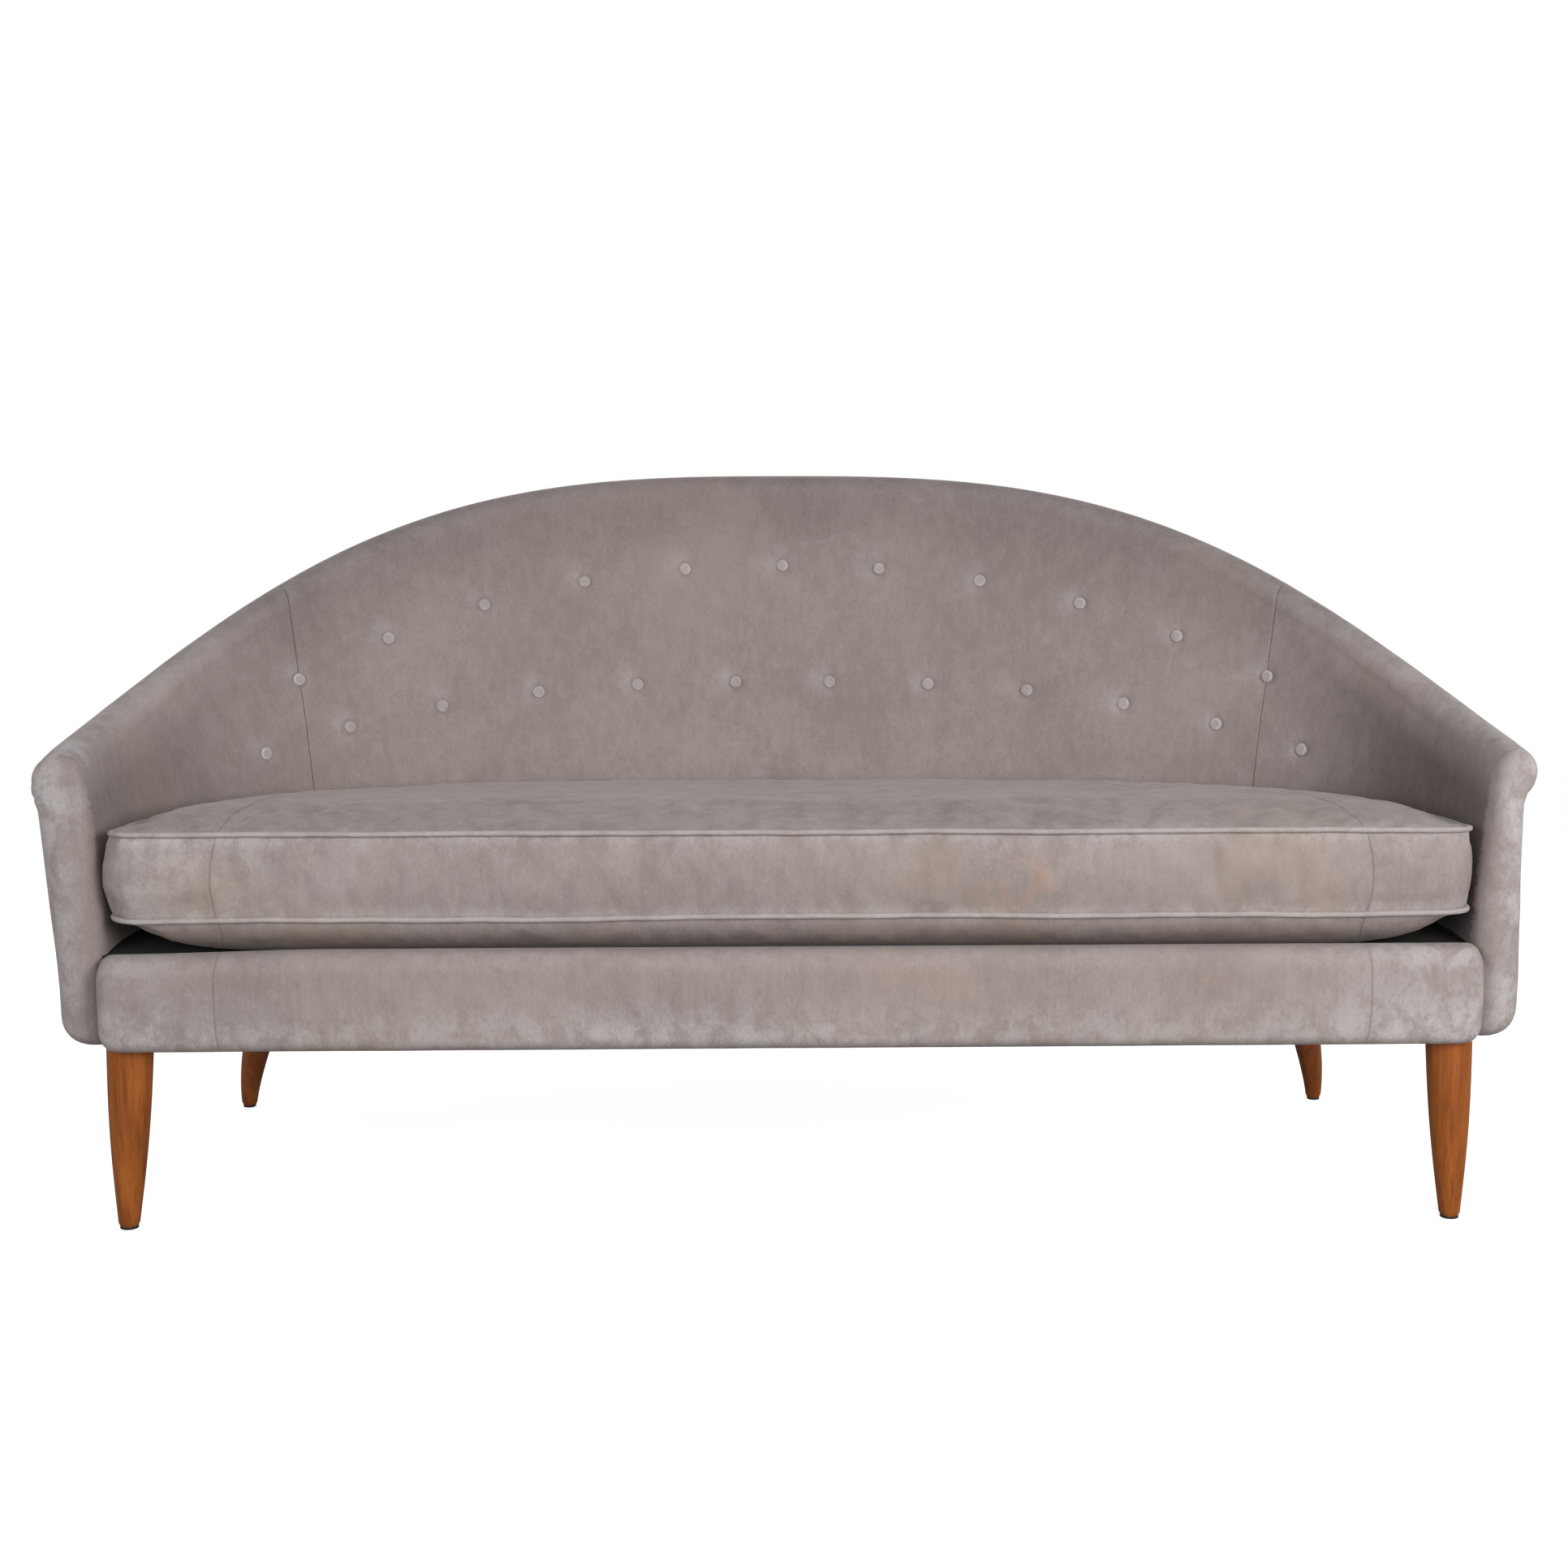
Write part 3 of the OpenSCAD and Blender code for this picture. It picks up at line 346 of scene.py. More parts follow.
def velvet_material(name, warm, lift=0.0, seam_x=None, stain=None):
    """Short pile velvet: clouded nap, upright pile streaks, pale rubbed patches with painted light, painted
    shade, and dark seams with painted shadow rings round the buttons, each by its mask.
    """
    g = Graph(name)
    cloud = g.noise(4.2, 3.0, 0.5, 0.6)
    nap = g.noise((17, 17, 11), 4.0, 0.6, 0.5)
    column = g.noise((150, 150, 9), 3.0, 0.6, 0.0)
    pile = g.noise((520, 520, 170), 3.0, 0.7, 0.0)
    tone = g.times(cloud, 0.24)
    mottle = g.noise((62, 62, 44), 5.0, 0.72, 0.3)
    for part, share in ((nap, 0.16), (mottle, 0.24), (column, 0.12), (pile, 0.24)):
        tone = g.plus(tone, g.times(part, share))
    base = g.over(g.step(tone, 0.40, 0.60, 0.0, 1.0), VELVET_DEEP, VELVET_MID)
    base = g.over(g.step(g.noise(3.1, 4.0, 0.66), 0.46, 0.66, 0.0, warm), base, VELVET_WARM)
    brushed = g.step(g.noise((12, 12, 26), 6.0, 0.72, 0.9), 0.58, 0.76, 0.0, 0.30)
    base = g.over(brushed, base, VELVET_PALE)
    rub = g.noise((34, 34, 26), 7.0, 0.74, 0.25)
    # Pale rubbed nap and painted light share this one mask.
    worn_and_lit = g.times(g.mask("wear_and_light"), g.step(rub, 0.38, 0.62, 0.15, 1.0), clamp=True)
    worn_and_lit = g.times(worn_and_lit, g.step(pile, 0.25, 0.60, 0.55, 0.85))
    base = g.over(worn_and_lit, base, VELVET_RUBBED_AND_LIT)
    # Painted shade, multiplied in by its mask.
    base = g.over(g.mask("laid"), base, PAINTED_SHADE_COLOUR, "MULTIPLY")
    if lift:
        base = g.over(lift, base, VELVET_RUBBED_AND_LIT)
    if stain:
        away = g.add("ShaderNodeVectorMath", {0: g.place, 1: stain}, operation="DISTANCE").outputs["Value"]
        spot = g.times(g.step(away, *STAIN_FADE, 0.5, 0.0), g.step(rub, 0.42, 0.6))
        base = g.over(spot, base, STAIN_COLOUR)
    seam = g.mask("seam")
    if seam_x:
        seam = g.math("MAXIMUM", seam, seam_lines(g, seam_x))
    # Dark seams, and painted shadow rings round the buttons, by the seam mask.
    base = g.over(g.times(seam, 0.22), base, SEAM_AND_SHADOW_DARK)
    normal = g.bump(g.plus(pile, g.times(column, 0.5)), 0.30, 0.0008)
    normal = g.bump(nap, 0.20, 0.004, normal)
    normal = g.bump(g.times(seam, -1.0), 0.7, 0.0014, normal)
    return g.finish(Base_Color=base, Roughness=0.9, Specular_IOR_Level=0.12, Sheen_Weight=0.18,
                    Sheen_Roughness=0.4, Sheen_Tint=(0.95, 0.92, 0.92), Normal=normal)


def seam_lines(g, seam_x):
    """Mask of joins that run front to back, at x = at + slope * y in metres, and bow out on the border."""
    axes = g.add("ShaderNodeSeparateXYZ", {"Vector": g.place}).outputs
    high = g.math("DIVIDE", g.math("SUBTRACT", axes["Z"], BORDER_MID), BORDER_HALF)
    arch = g.math("MAXIMUM", g.math("SUBTRACT", 1.0, g.times(high, high)), 0.0)
    total = None
    for at, slope, bow in seam_x:
        line = g.plus(g.times(axes["Y"], slope), at)
        line = g.plus(line, g.times(arch, bow))
        off = g.math("ABSOLUTE", g.math("SUBTRACT", axes["X"], line))
        one = g.step(off, *SEAM_LINE, 1.0, 0.0)
        total = one if total is None else g.math("MAXIMUM", total, one)
    return total


def wood_material(name, light, dark, gloss):
    """Stained or bare beech: long grain up the leg, short dark flecks and a thin lacquer."""
    g = Graph(name)
    ring = g.noise((46, 46, 3.2), 4.0, 0.6, 1.5)
    grain = g.noise((320, 320, 7), 5.0, 0.65, 0.3)
    fleck = g.step(g.noise((900, 900, 70), 2.0, 0.5, 0.0), 0.60, 0.72, 0.0, 0.4)
    tone = g.plus(g.times(ring, 0.6), g.times(grain, 0.4))
    base = g.over(g.step(tone, 0.36, 0.66), dark, light)
    base = g.over(fleck, base, tuple(0.55 * c for c in dark))
    normal = g.bump(g.plus(grain, fleck), 0.12, 0.0006)
    return g.finish(Base_Color=base, Roughness=g.step(grain, 0.3, 0.7, 0.34, 0.48), Coat_Weight=gloss,
                    Coat_Roughness=0.18, Normal=normal)


def woven_material(name, thread, gap, count, sheen=0.15):
    """Plain weave of the given number of threads a metre."""
    g = Graph(name)
    waves = {"Vector": g.place, "Scale": count / 6.2832, "Distortion": 0.6, "Detail": 1.0}
    wide, long = (g.add("ShaderNodeTexWave", waves, bands_direction=way).outputs["Fac"] for way in "XY")
    height = g.times(wide, long)
    slub = g.noise((60, 240, 60), 3.0, 0.6, 0.0)
    base = g.over(g.step(g.plus(height, g.times(slub, 0.5)), 0.2, 0.9), gap, thread)
    return g.finish(Base_Color=base, Roughness=0.9, Sheen_Weight=sheen, Normal=g.bump(height, 0.5, 0.0006))


def felt_material(name):
    g = Graph(name)
    fibre = g.noise((180, 180, 180), 6.0, 0.7, 2.0)
    lump = g.noise(14.0, 3.0, 0.6)
    base = g.over(g.step(g.times(g.plus(fibre, lump), 0.5), 0.35, 0.65),
                    (0.58, 0.54, 0.45), (0.78, 0.75, 0.66))
    return g.finish(Base_Color=base, Roughness=0.95, Normal=g.bump(fibre, 0.5, 0.001))


def metal_material(name, colour, roughness):
    g = Graph(name)
    brush = g.noise((60, 900, 900), 3.0, 0.6, 0.0)
    tarnish = g.noise(40.0, 4.0, 0.6)
    base = g.over(g.step(tarnish, 0.35, 0.7), tuple(0.7 * c for c in colour), colour)
    shine = g.step(brush, 0.3, 0.7, roughness, roughness + 0.2)
    return g.finish(Base_Color=base, Metallic=1.0, Roughness=shine, Normal=g.bump(brush, 0.1, 0.0002))


# On the cushion, in metres: the border's middle height and half its height, the sewn joins, and the stain.
BORDER_MID, BORDER_HALF = 0.417, 0.058
CUSHION_SEAMS = ((-0.6205, 0.088, -0.006), (0.6200, -0.088, 0.007))
STAIN_PLACE = (0.268, -0.352, 0.405)
VELVET = velvet_material("velvet_body", 0.28)
VELVET_CUSHION = velvet_material("velvet_cushion", 0.55, 0.0, CUSHION_SEAMS, STAIN_PLACE)
VELVET_TRIM = velvet_material("velvet_trim", 0.3, 0.24)
BEECH = wood_material("amber_beech", (0.45, 0.130, 0.018), (0.25, 0.062, 0.009), 0.12)
# A darker copy of the beech for the rear legs: painted shade under the body.
BEECH_SHADED = wood_material("amber_beech_rear", (0.36, 0.098, 0.014), (0.20, 0.046, 0.007), 0.08)
RAW_BEECH = wood_material("raw_beech", (0.64, 0.47, 0.29), (0.46, 0.31, 0.17), 0.0)
JUTE = woven_material("jute", (0.46, 0.33, 0.18), (0.16, 0.10, 0.05), 900.0)
FELT = felt_material("felted_padding")
STEEL = metal_material("bright_steel", (0.62, 0.62, 0.64), 0.32)
GLIDE_STEEL = metal_material("dull_steel", (0.10, 0.10, 0.105), 0.45)
DUST_CLOTH = woven_material("black_dust_cloth", (0.030, 0.029, 0.028), (0.010, 0.010, 0.010), 1300.0)
# Near-black deck cloth: painted shade for the gap under the cushion.
DECK_CLOTH_SHADE = woven_material("deck_cloth_painted_shade", (0.028, 0.026, 0.025), (0.007, 0.007, 0.006), 1100.0, 0.0)
ZIP_TAPE = woven_material("zip_tape", (0.15, 0.13, 0.12), (0.07, 0.06, 0.055), 1600.0)


# Inside covers: back and two arms, with the arms' rolled front ends.
FACE_STEPS, LIP_STEPS, ARC_STEPS = 116, 7, 14
FACE_ROWS = FACE_STEPS + LIP_STEPS - 1
APEX_ROW = FACE_ROWS + ARC_STEPS - 2
SEAM_MARKS = (-0.30, -0.19, -0.10, -0.04, 0.0, 0.04, 0.10, 0.19, 0.30)
SEAM_CLEAR, SEAM_SHARP = 0.32, 0.05


def face_rows(s):
    """Distance out and height of each row at s: from the deck up the face, over the roll and under it."""
    r, z1 = roll_r(s), roll_z(s)
    low = z1 - r * LIP_SIN
    face = DECK_Z + (low - DECK_Z) * np.linspace(0, 1, FACE_STEPS)
    lips = arc(LIP_ANGLE, 0, LIP_STEPS)[1:]
    heights = np.concatenate([face, z1 - r * np.sin(lips)])
    arcs = np.concatenate([arc(180, 90, ARC_STEPS)[1:], arc(90, 0, ARC_STEPS)[1:],
                           -arc(0, LIP_ANGLE, LIP_STEPS)[1:]])
    d = np.concatenate([inside_d(s, heights), lean(s) + r * np.cos(arcs)])
    z = np.concatenate([heights, z1 + r * np.sin(arcs)])
    return d, z


def stations(low, high, step, marks=()):
    """Angles from low to high, with close extra ones round each mark for a sewn line."""
    count = max(2, int(round((high - low) / step)) + 1)
    out = list(np.linspace(low, high, count))
    for mark in marks:
        out = [s for s in out if abs(s - mark) > SEAM_CLEAR]
        out += [mark + k for k in SEAM_MARKS]
    return np.array(sorted(s for s in out if low - 1e-9 <= s <= high + 1e-9))


def arm_stations(side, seam, step):
    """Angles of one arm's cover; side is -1 at the left and 1 at the right."""
    angles = stations(seam, 90.0, step, (seam,))
    return angles if side > 0 else -angles[::-1]


# A button's pull, steep and wide: (depth, width) of each. A painted highlight lies a little aside of each.
BUTTON_PLACES = np.array([face_point(s, z) for s, z in buttons()])
BUTTON_DIPS = ((5.2, 10.5), (1.8, 42))
HALO_SHIFT = np.array([-11.0, 0.0, 8.0])
HALO_HIGHLIGHT, HALO_WIDTH = 0.34, 19


def tufting(points):
    """How far the buttons pull the inside face in, a painted shadow ring round each, and a painted highlight
    beside each.
    """
    depth, rim, halo = (np.zeros(points.shape[:-1]) for _ in range(3))
    for place in BUTTON_PLACES:
        away = np.linalg.norm(points - place, axis=-1)
        depth = np.maximum(depth, sum(deep * dip(away, wide) for deep, wide in BUTTON_DIPS))
        # Painted shadow ring round the button's edge.
        rim = np.maximum(rim, 0.5 * dip(away - BUTTON_R, 2.4))
        # Painted highlight a little aside of the button.
        aside = np.linalg.norm(points - place - HALO_SHIFT, axis=-1)
        halo = np.maximum(halo, HALO_HIGHLIGHT * dip(aside, HALO_WIDTH))
    return depth, rim, halo


# How dark the painted shade is inside the left and right arm, along the back's top, and on the rest of the back.
PAINTED_SHADE_ARM, PAINTED_SHADE_CREST, PAINTED_SHADE_BACK = {-1: 0.40, 1: 0.78}, 0.32, 0.06


def laid_nap(s, z):
    """Painted shade: darker inside the arms, most in the right one, along the back's top and a little over the
    rest of the back.
    """
    turn = ease(share(abs(s), 50.0, 72.0))
    high = unit((roll_z(s) + 4.0 - z) / 40.0)
    crest = PAINTED_SHADE_CREST * dip(z - roll_z(s) - 8.0, 75) * (1 - turn)
    return PAINTED_SHADE_ARM[1 if s > 0 else -1] * turn * high + PAINTED_SHADE_BACK * (1 - turn) + crest


def outward(angles):
    """Level direction out of the body at each angle, as rows of vectors."""
    nx, ny = plan(np.asarray(angles))[2:]
    return np.stack([nx, ny, 0 * nx], -1)[:, None, :]


# The angle of the left arm's rubbed tip, and the size, height and seed of the face's ripples.
LEFT_TIP = 88.0
FACE_SLOW, FACE_FINE = (90, 1.1, 1), (30, 0.35, 2)


def inside_grid(angles):
    """Points and masks of the inside face and roll, one row of points for each angle."""
    points, seam, wear_and_light, laid = [], [], [], []
    for s in angles:
        d, z = face_rows(s)
        d = d + arm_drift(s, z, (d - lean(s) + 0.6 * roll_r(s)) / (1.6 * roll_r(s)))
        x, y = off_plan(np.full_like(d, s), d)
        points.append(np.stack([x, y, z], -1))
        gap = abs(abs(s) - SEAM_AT)
        seam.append(np.full(len(z), dip(gap, SEAM_SHARP)))
        crest = np.exp(-((np.arange(len(z)) - APEX_ROW) / 9.0) ** 2)
        wear_and_light.append((0.22 + 0.25 * min(1.0, abs(s) / 80.0) + 0.45 * dip(s + LEFT_TIP, 4.0)) * crest)
        # Painted shade inside the arms, along the back's top and over the back.
        laid.append(laid_nap(s, z))
    points, seam, wear_and_light, laid = (np.array(v) for v in (points, seam, wear_and_light, laid))
    out = outward(angles)
    row = np.arange(points.shape[1])
    on_face = unit((FACE_ROWS - row) / 6.0)[None, :]
    pulled, rim, halo = tufting(points)
    # Painted highlight beside each button, added to the wear mask.
    wear_and_light = np.maximum(wear_and_light, halo * on_face)
    seam = seam * unit((APEX_ROW + 6 - row) / 8.0)[None, :]
    sunk = pulled * on_face + 0.5 * seam
    # The seam mask also takes the painted shadow ring round each button.
    seam = np.maximum(0.7 * seam, rim * on_face)
    sunk = sunk + ripple(points, *FACE_SLOW) + ripple(points, *FACE_FINE)
    return points + out * sunk[..., None], {"seam": seam.ravel(), "wear_and_light": wear_and_light.ravel(), "laid": laid.ravel()}


def inside_piece(name, angles, *nodes, arm=0):
    points, masks = inside_grid(angles)
    rows, columns = points.shape[:2]
    flat = points.reshape(-1, 3)
    faces = grid_faces(rows, columns, flip=True)
    if arm:
        end = points[-1] if arm > 0 else points[0]
        extra, nose_faces, nose_masks = arm_front(end, arm, len(flat))
        flat = np.concatenate([flat, extra])
        faces += nose_faces
        masks = {k: np.concatenate([masks[k], nose_masks[k]]) for k in masks}
    cover_piece(name, flat, faces, masks, *nodes)


def cover_piece(name, points, faces, masks, *nodes):
    obj = build(name, points, faces, masks)
    weld(obj, COVER_WELD)
    thicken(obj, COVER_T * MM)
    finish_piece(obj, VELVET, FRAME_BODY, *nodes)


# Points closer than this, in metres, become one.
COVER_WELD, ROLL_WELD, SMALL_WELD, TINY_WELD = 0.0004, 0.0002, 0.00005, 0.00001


def weld(obj, distance):
    bm = bmesh.new()
    bm.from_mesh(obj.data)
    bmesh.ops.remove_doubles(bm, verts=bm.verts, dist=distance)
    bmesh.ops.recalc_face_normals(bm, faces=bm.faces)
    bm.to_mesh(obj.data)
    bm.free()
    obj.data.shade_smooth()


# The arms' front ends: the heights of roll and lip there, and how pale and how wide each one's rubbed nap is, in
# radians about NOSE_RUB_AT; the right one is paler and wider as painted light.
ARM_END = 90.0
ARM_ROLL_Z = float(roll_z(ARM_END))
ARM_LIP_Z = ARM_ROLL_Z - ARM_ROLL_R * LIP_SIN
NOSE_TURNS = 19
NOSE_RUB_AND_LIGHT, NOSE_RUB_AT = {-1: (0.65, 0.9), 1: (0.85, 1.2)}, 2.2


def arm_outer_x(z):
    """Where an arm's outer side is drawn at its front: up the wall, over the lip and round the roll."""
    if z >= ARM_LIP_Z:
        return SEAT_W / 2 + ARM_LEAN + math.sqrt(max(ARM_ROLL_R * ARM_ROLL_R - (z - ARM_ROLL_Z) ** 2, 0))
    lip_x = SEAT_W / 2 + ARM_LEAN + ARM_ROLL_R * LIP_COS
    wall_x = SEAT_W / 2 + float(outside_d(ARM_END, np.array(z)))
    return lip_x + (wall_x - lip_x) * min(1.0, (ARM_LIP_Z - z) / 14.0)


def pleat(a, z):
    """Depth of the small gathers under the lip, on the outer side of an arm's front."""
    under = dip(z - ARM_LIP_Z + 6, 13)
    outer = max(0.0, math.sin(a)) * (1.0 if a > 1.2 else max(0.0, (a - 0.6) / 0.6))
    return -1.5 * under * outer * (0.5 + 0.5 * math.cos(22 * a))


def arm_front(end, side, start):
    """The rounded front end of an arm: level slices from the foot up, each from the inside face round."""
    low_z = BODY_Z + NOSE_R * (1 - np.cos(arc(0, 90, 8)))
    low_z = np.concatenate([low_z, np.linspace(BODY_Z + NOSE_R, DECK_Z, 14)[1:-1]])
    slices = [(SEAT_W / 2, z) for z in low_z] + [(abs(p[0]), p[2]) for p in end[:APEX_ROW + 1]]
    rub, rub_width = NOSE_RUB_AND_LIGHT[side]
    points, wear_and_light = [], []
    for x_in, z in slices:
        x_out = arm_outer_x(z) + float(arm_drift(ARM_END * side, z, 1.0))
        above = max(0.0, z - ARM_ROLL_Z) / ARM_ROLL_R
        below = max(0.0, BODY_Z + NOSE_R - z) / NOSE_R
        depth = ARM_REACH * math.sqrt(max(0, 1 - above ** 2)) * math.sqrt(max(0, 1 - below ** 2))
        mid, half = (x_in + x_out) / 2, (x_out - x_in) / 2
        for k in range(NOSE_TURNS):
            a = math.pi * k / (NOSE_TURNS - 1)
            y = -(depth + pleat(a, z)) * math.sin(a) ** 0.85
            points.append((side * (mid - half * math.cos(a)), y, z))
            # Pale nap on each arm's front: rubbed, and on the right arm also painted light.
            wear_and_light.append(rub * dip(a - NOSE_RUB_AT, rub_width) + 0.35 * dip(z - ARM_LIP_Z, 30))
    points = np.array(points)
    points[:, 1] -= ripple(points, 60, 1.0, 5) * (points[:, 1] < -4)
    faces = grid_faces(len(slices), NOSE_TURNS, start)
    none = np.zeros(len(points))
    return points, faces, {"seam": none, "wear_and_light": unit(wear_and_light), "laid": none}


back_angles = stations(-SEAM_AT, SEAM_AT, 0.25, (-SEAM_AT, SEAM_AT))
inside_piece("inside_back_upholstery", back_angles, "inside_back_cover", "back_pad")
for side, name in SIDES:
    inside_piece("inside_arm_upholstery_" + name, arm_stations(side, SEAM_AT, 0.3),
                 "inside_arm_cover_" + name, "arm_pad_" + name, arm=side)


# Outside covers: from under the roll down the wall, round the bottom edge to the fold.
def outside_rows(s):
    """(distance out, height) of each row at angle s, from the lip down to the fold under the body."""
    r, z1 = float(roll_r(s)), float(roll_z(s))
    lip_z = z1 - r * LIP_SIN
    lip_d = float(lean(s)) + r * LIP_COS
    top_z = z1 - LIP_DROP * r
    rows = [(lip_d, lip_z)]
    foot_z = BODY_Z + BOTTOM_R
    for z in np.linspace(top_z, foot_z, 40):
        t = (z - foot_z) / (top_z - foot_z)
        rows.append((float(outside_d(s, np.array(z))) + 2.0 * math.sin(math.pi * t), z))
    turn_d = float(wall_t(s)) - BOTTOM_R
    for a in arc(0, 90, 10)[1:]:
        rows.append((turn_d + BOTTOM_R * math.cos(a), BODY_Z + BOTTOM_R * (1 - math.sin(a))))
    rows.append((turn_d - FOLD_T, BODY_Z))
    return np.array(rows)


def outside_piece(name, angles, *nodes):
    points, seam, wear_and_light = [], [], []
    for s in angles:
        rows = outside_rows(s)
        rows[:, 0] += arm_drift(s, rows[:, 1], 1.0)
        x, y = off_plan(np.full(len(rows), s), rows[:, 0])
        points.append(np.stack([x, y, rows[:, 1]], -1))
        seam.append(np.full(len(rows), dip(abs(abs(s) - OUTSIDE_SEAM), SEAM_SHARP)))
        wear_and_light.append(0.5 * dip(rows[:, 1] - BODY_Z, 26))
    points, seam, wear_and_light = np.array(points), np.array(seam), np.array(wear_and_light)
    out = outward(angles)
    edge = unit(np.arange(points.shape[1]) / 4.0)[None, :]
    swell = (ripple(points, 120, 1.4, 3) + ripple(points, 35, 0.35, 4)) * edge - 1.5 * seam
    points = points + out * swell[..., None]
    cover_piece(name, points, grid_faces(*points.shape[:2], flip=True), {"seam": seam, "wear_and_light": wear_and_light}, *nodes)


BACK_ANGLES = stations(-OUTSIDE_SEAM, OUTSIDE_SEAM, 0.9, (-OUTSIDE_SEAM, OUTSIDE_SEAM))
outside_piece("outside_back_upholstery", BACK_ANGLES, "outside_back_cover", "outside_wadding")
for side, name in SIDES:
    outside_piece("outside_arm_upholstery_" + name, arm_stations(side, OUTSIDE_SEAM, 0.9),
                  "outside_arm_cover_" + name)


# Front roll.
ROLL_REACH, ROLL_W, ROLL_TOP, ROLL_END_R = 52.0, 1582.0, 339.0, 16.0
ROLL_LOW_R, ROLL_HIGH_R, ROLL_BELLY = 18.0, 26.0, 2.0
ROLL_BACK = -9.5
ROLL_SEAMS = (-650.0, 652.0)
ROLL_SEAM_MARKS, ROLL_SEAM_CLEAR = (-3, -1.8, -1, -0.4, 0, 0.4, 1, 1.8, 3), 3.2
# The roll slumps towards its left end, and both ends' faces round off towards their middle.
ROLL_SLUMP, ROLL_SLUMP_X = 5.0, (520, 780)
ROLL_SHRINK, ROLL_SHRINK_W, ROLL_SHRINK_Y = 10.0, 30, (16, 34)


def roll_section(inset):
    """(y, z) round the roll, from under its back edge forward, up the face and over the top."""
    pts = [(ROLL_BACK, BODY_Z + inset), (-25.0, BODY_Z + inset)]
    for a in arc(270, 180, 9):
        pts.append((-ROLL_REACH + ROLL_LOW_R + (ROLL_LOW_R - inset) * math.cos(a),
                    BODY_Z + ROLL_LOW_R + (ROLL_LOW_R - inset) * math.sin(a)))
    low, high = BODY_Z + ROLL_LOW_R, ROLL_TOP - ROLL_HIGH_R
    for t in np.linspace(0, 1, 14)[1:-1]:
        pts.append((-ROLL_REACH + inset - ROLL_BELLY * math.sin(math.pi * t), low + (high - low) * t))
    for a in arc(180, 90, 11):
        pts.append((-ROLL_REACH + ROLL_HIGH_R + (ROLL_HIGH_R - inset) * math.cos(a),
                    high + (ROLL_HIGH_R - inset) * math.sin(a)))
    pts += [(-20.0, ROLL_TOP - 1 - inset), (-15.5, ROLL_TOP - 4 - inset), (ROLL_BACK - inset, DECK_Z + 1)]
    return np.array(pts)


def roll_stations():
    """(x, inset) of each section along the roll, with rounded ends and close sections at the sewn joins."""
    half = ROLL_W / 2 - ROLL_END_R
    end = [(-half - ROLL_END_R * math.sin(a), ROLL_END_R * (1 - math.cos(a))) for a in arc(90, 0, 9)]
    inner = set(np.linspace(-half, half, 200)[1:-1])
    for mark in ROLL_SEAMS:
        inner = {x for x in inner if abs(x - mark) > ROLL_SEAM_CLEAR}
        inner |= {mark + k for k in ROLL_SEAM_MARKS}
    return end + [(x, 0.0) for x in sorted(inner)] + [(-x, inset) for x, inset in reversed(end)]


def shape_roll(points, seam):
    """Moves the roll's points: stuffed unevenness, sunk joins, its slump and its rounded ends."""
    count = points.shape[1]
    row = np.arange(count)
    free = unit(np.minimum(row - 1, count - 4 - row) / 5.0)[None, :]
    points[..., 1] -= (ripple(points, 75, 1.6, 6) + ripple(points, 24, 0.5, 7)) * free - 0.6 * seam * free
    x, y, z = (points[..., axis] for axis in range(3))
    z -= ROLL_SLUMP * ease(share(-x, *ROLL_SLUMP_X)) * share(z, BODY_Z, ROLL_TOP)
    near_end = share(np.abs(x), ROLL_W / 2 - ROLL_SHRINK_W, ROLL_W / 2)
    from_mid = (z - (BODY_Z + ROLL_TOP) / 2) / ((ROLL_TOP - BODY_Z) / 2)
    z -= ROLL_SHRINK * (1 - np.sqrt(1 - near_end ** 2)) * from_mid * share(-y, *ROLL_SHRINK_Y)


def front_roll():
    points, seam, wear_and_light = [], [], []
    for x, inset in roll_stations():
        section = roll_section(inset)
        t = np.linspace(0, 1, len(section))
        near = min(abs(x - m) for m in ROLL_SEAMS)
        bow = 7 * np.sin(math.pi * t) * dip(near, 40) * np.sign(x)
        points.append(np.stack([x + bow, section[:, 0], section[:, 1]], -1))
        seam.append(np.full(len(section), 0.6 * dip(near, 0.7)))
        end = 0.30 * dip(x + ROLL_W / 2, 90) + 0.55 * dip(x - ROLL_W / 2 + 30, 130)
        foot = dip(section[:, 1] - BODY_Z - 18, 34) * (0.50 + 0.25 * dip(x + 180, 330))
        wear_and_light.append(unit(foot + end + 0.20 * dip(section[:, 1] - ROLL_TOP, 16)))
    points, seam = np.array(points), np.array(seam)
    shape_roll(points, seam)
    rows, columns = points.shape[:2]
    faces = grid_faces(rows, columns, flip=True)
    faces += [ring_cap(0, columns), ring_cap(rows - 1, columns, flip=True)]
    obj = build("front_roll_upholstery", points, faces, {"seam": seam, "wear_and_light": wear_and_light})
    weld(obj, ROLL_WELD)
    finish_piece(obj, VELVET, FRAME_BODY, "front_roll_cover", "front_roll_pad")


front_roll()


# Seat deck under the cushion, and the black dust cover under the body.
DECK_T, DUST_T = 0.002, 0.0006
SHEET_RINGS, SHEET_FRONT_STEPS = 26, 40
SHEET_CENTRE = np.array([0.0, 180.0])


def deck_edge(s):
    """How far the deck cloth reaches outside the plan line, tucked in between the pads."""
    return mix(4.0, 50.0, s) + 11.0


def dust_edge(s):
    return wall_t(s) - BOTTOM_R - FOLD_T - 0.3


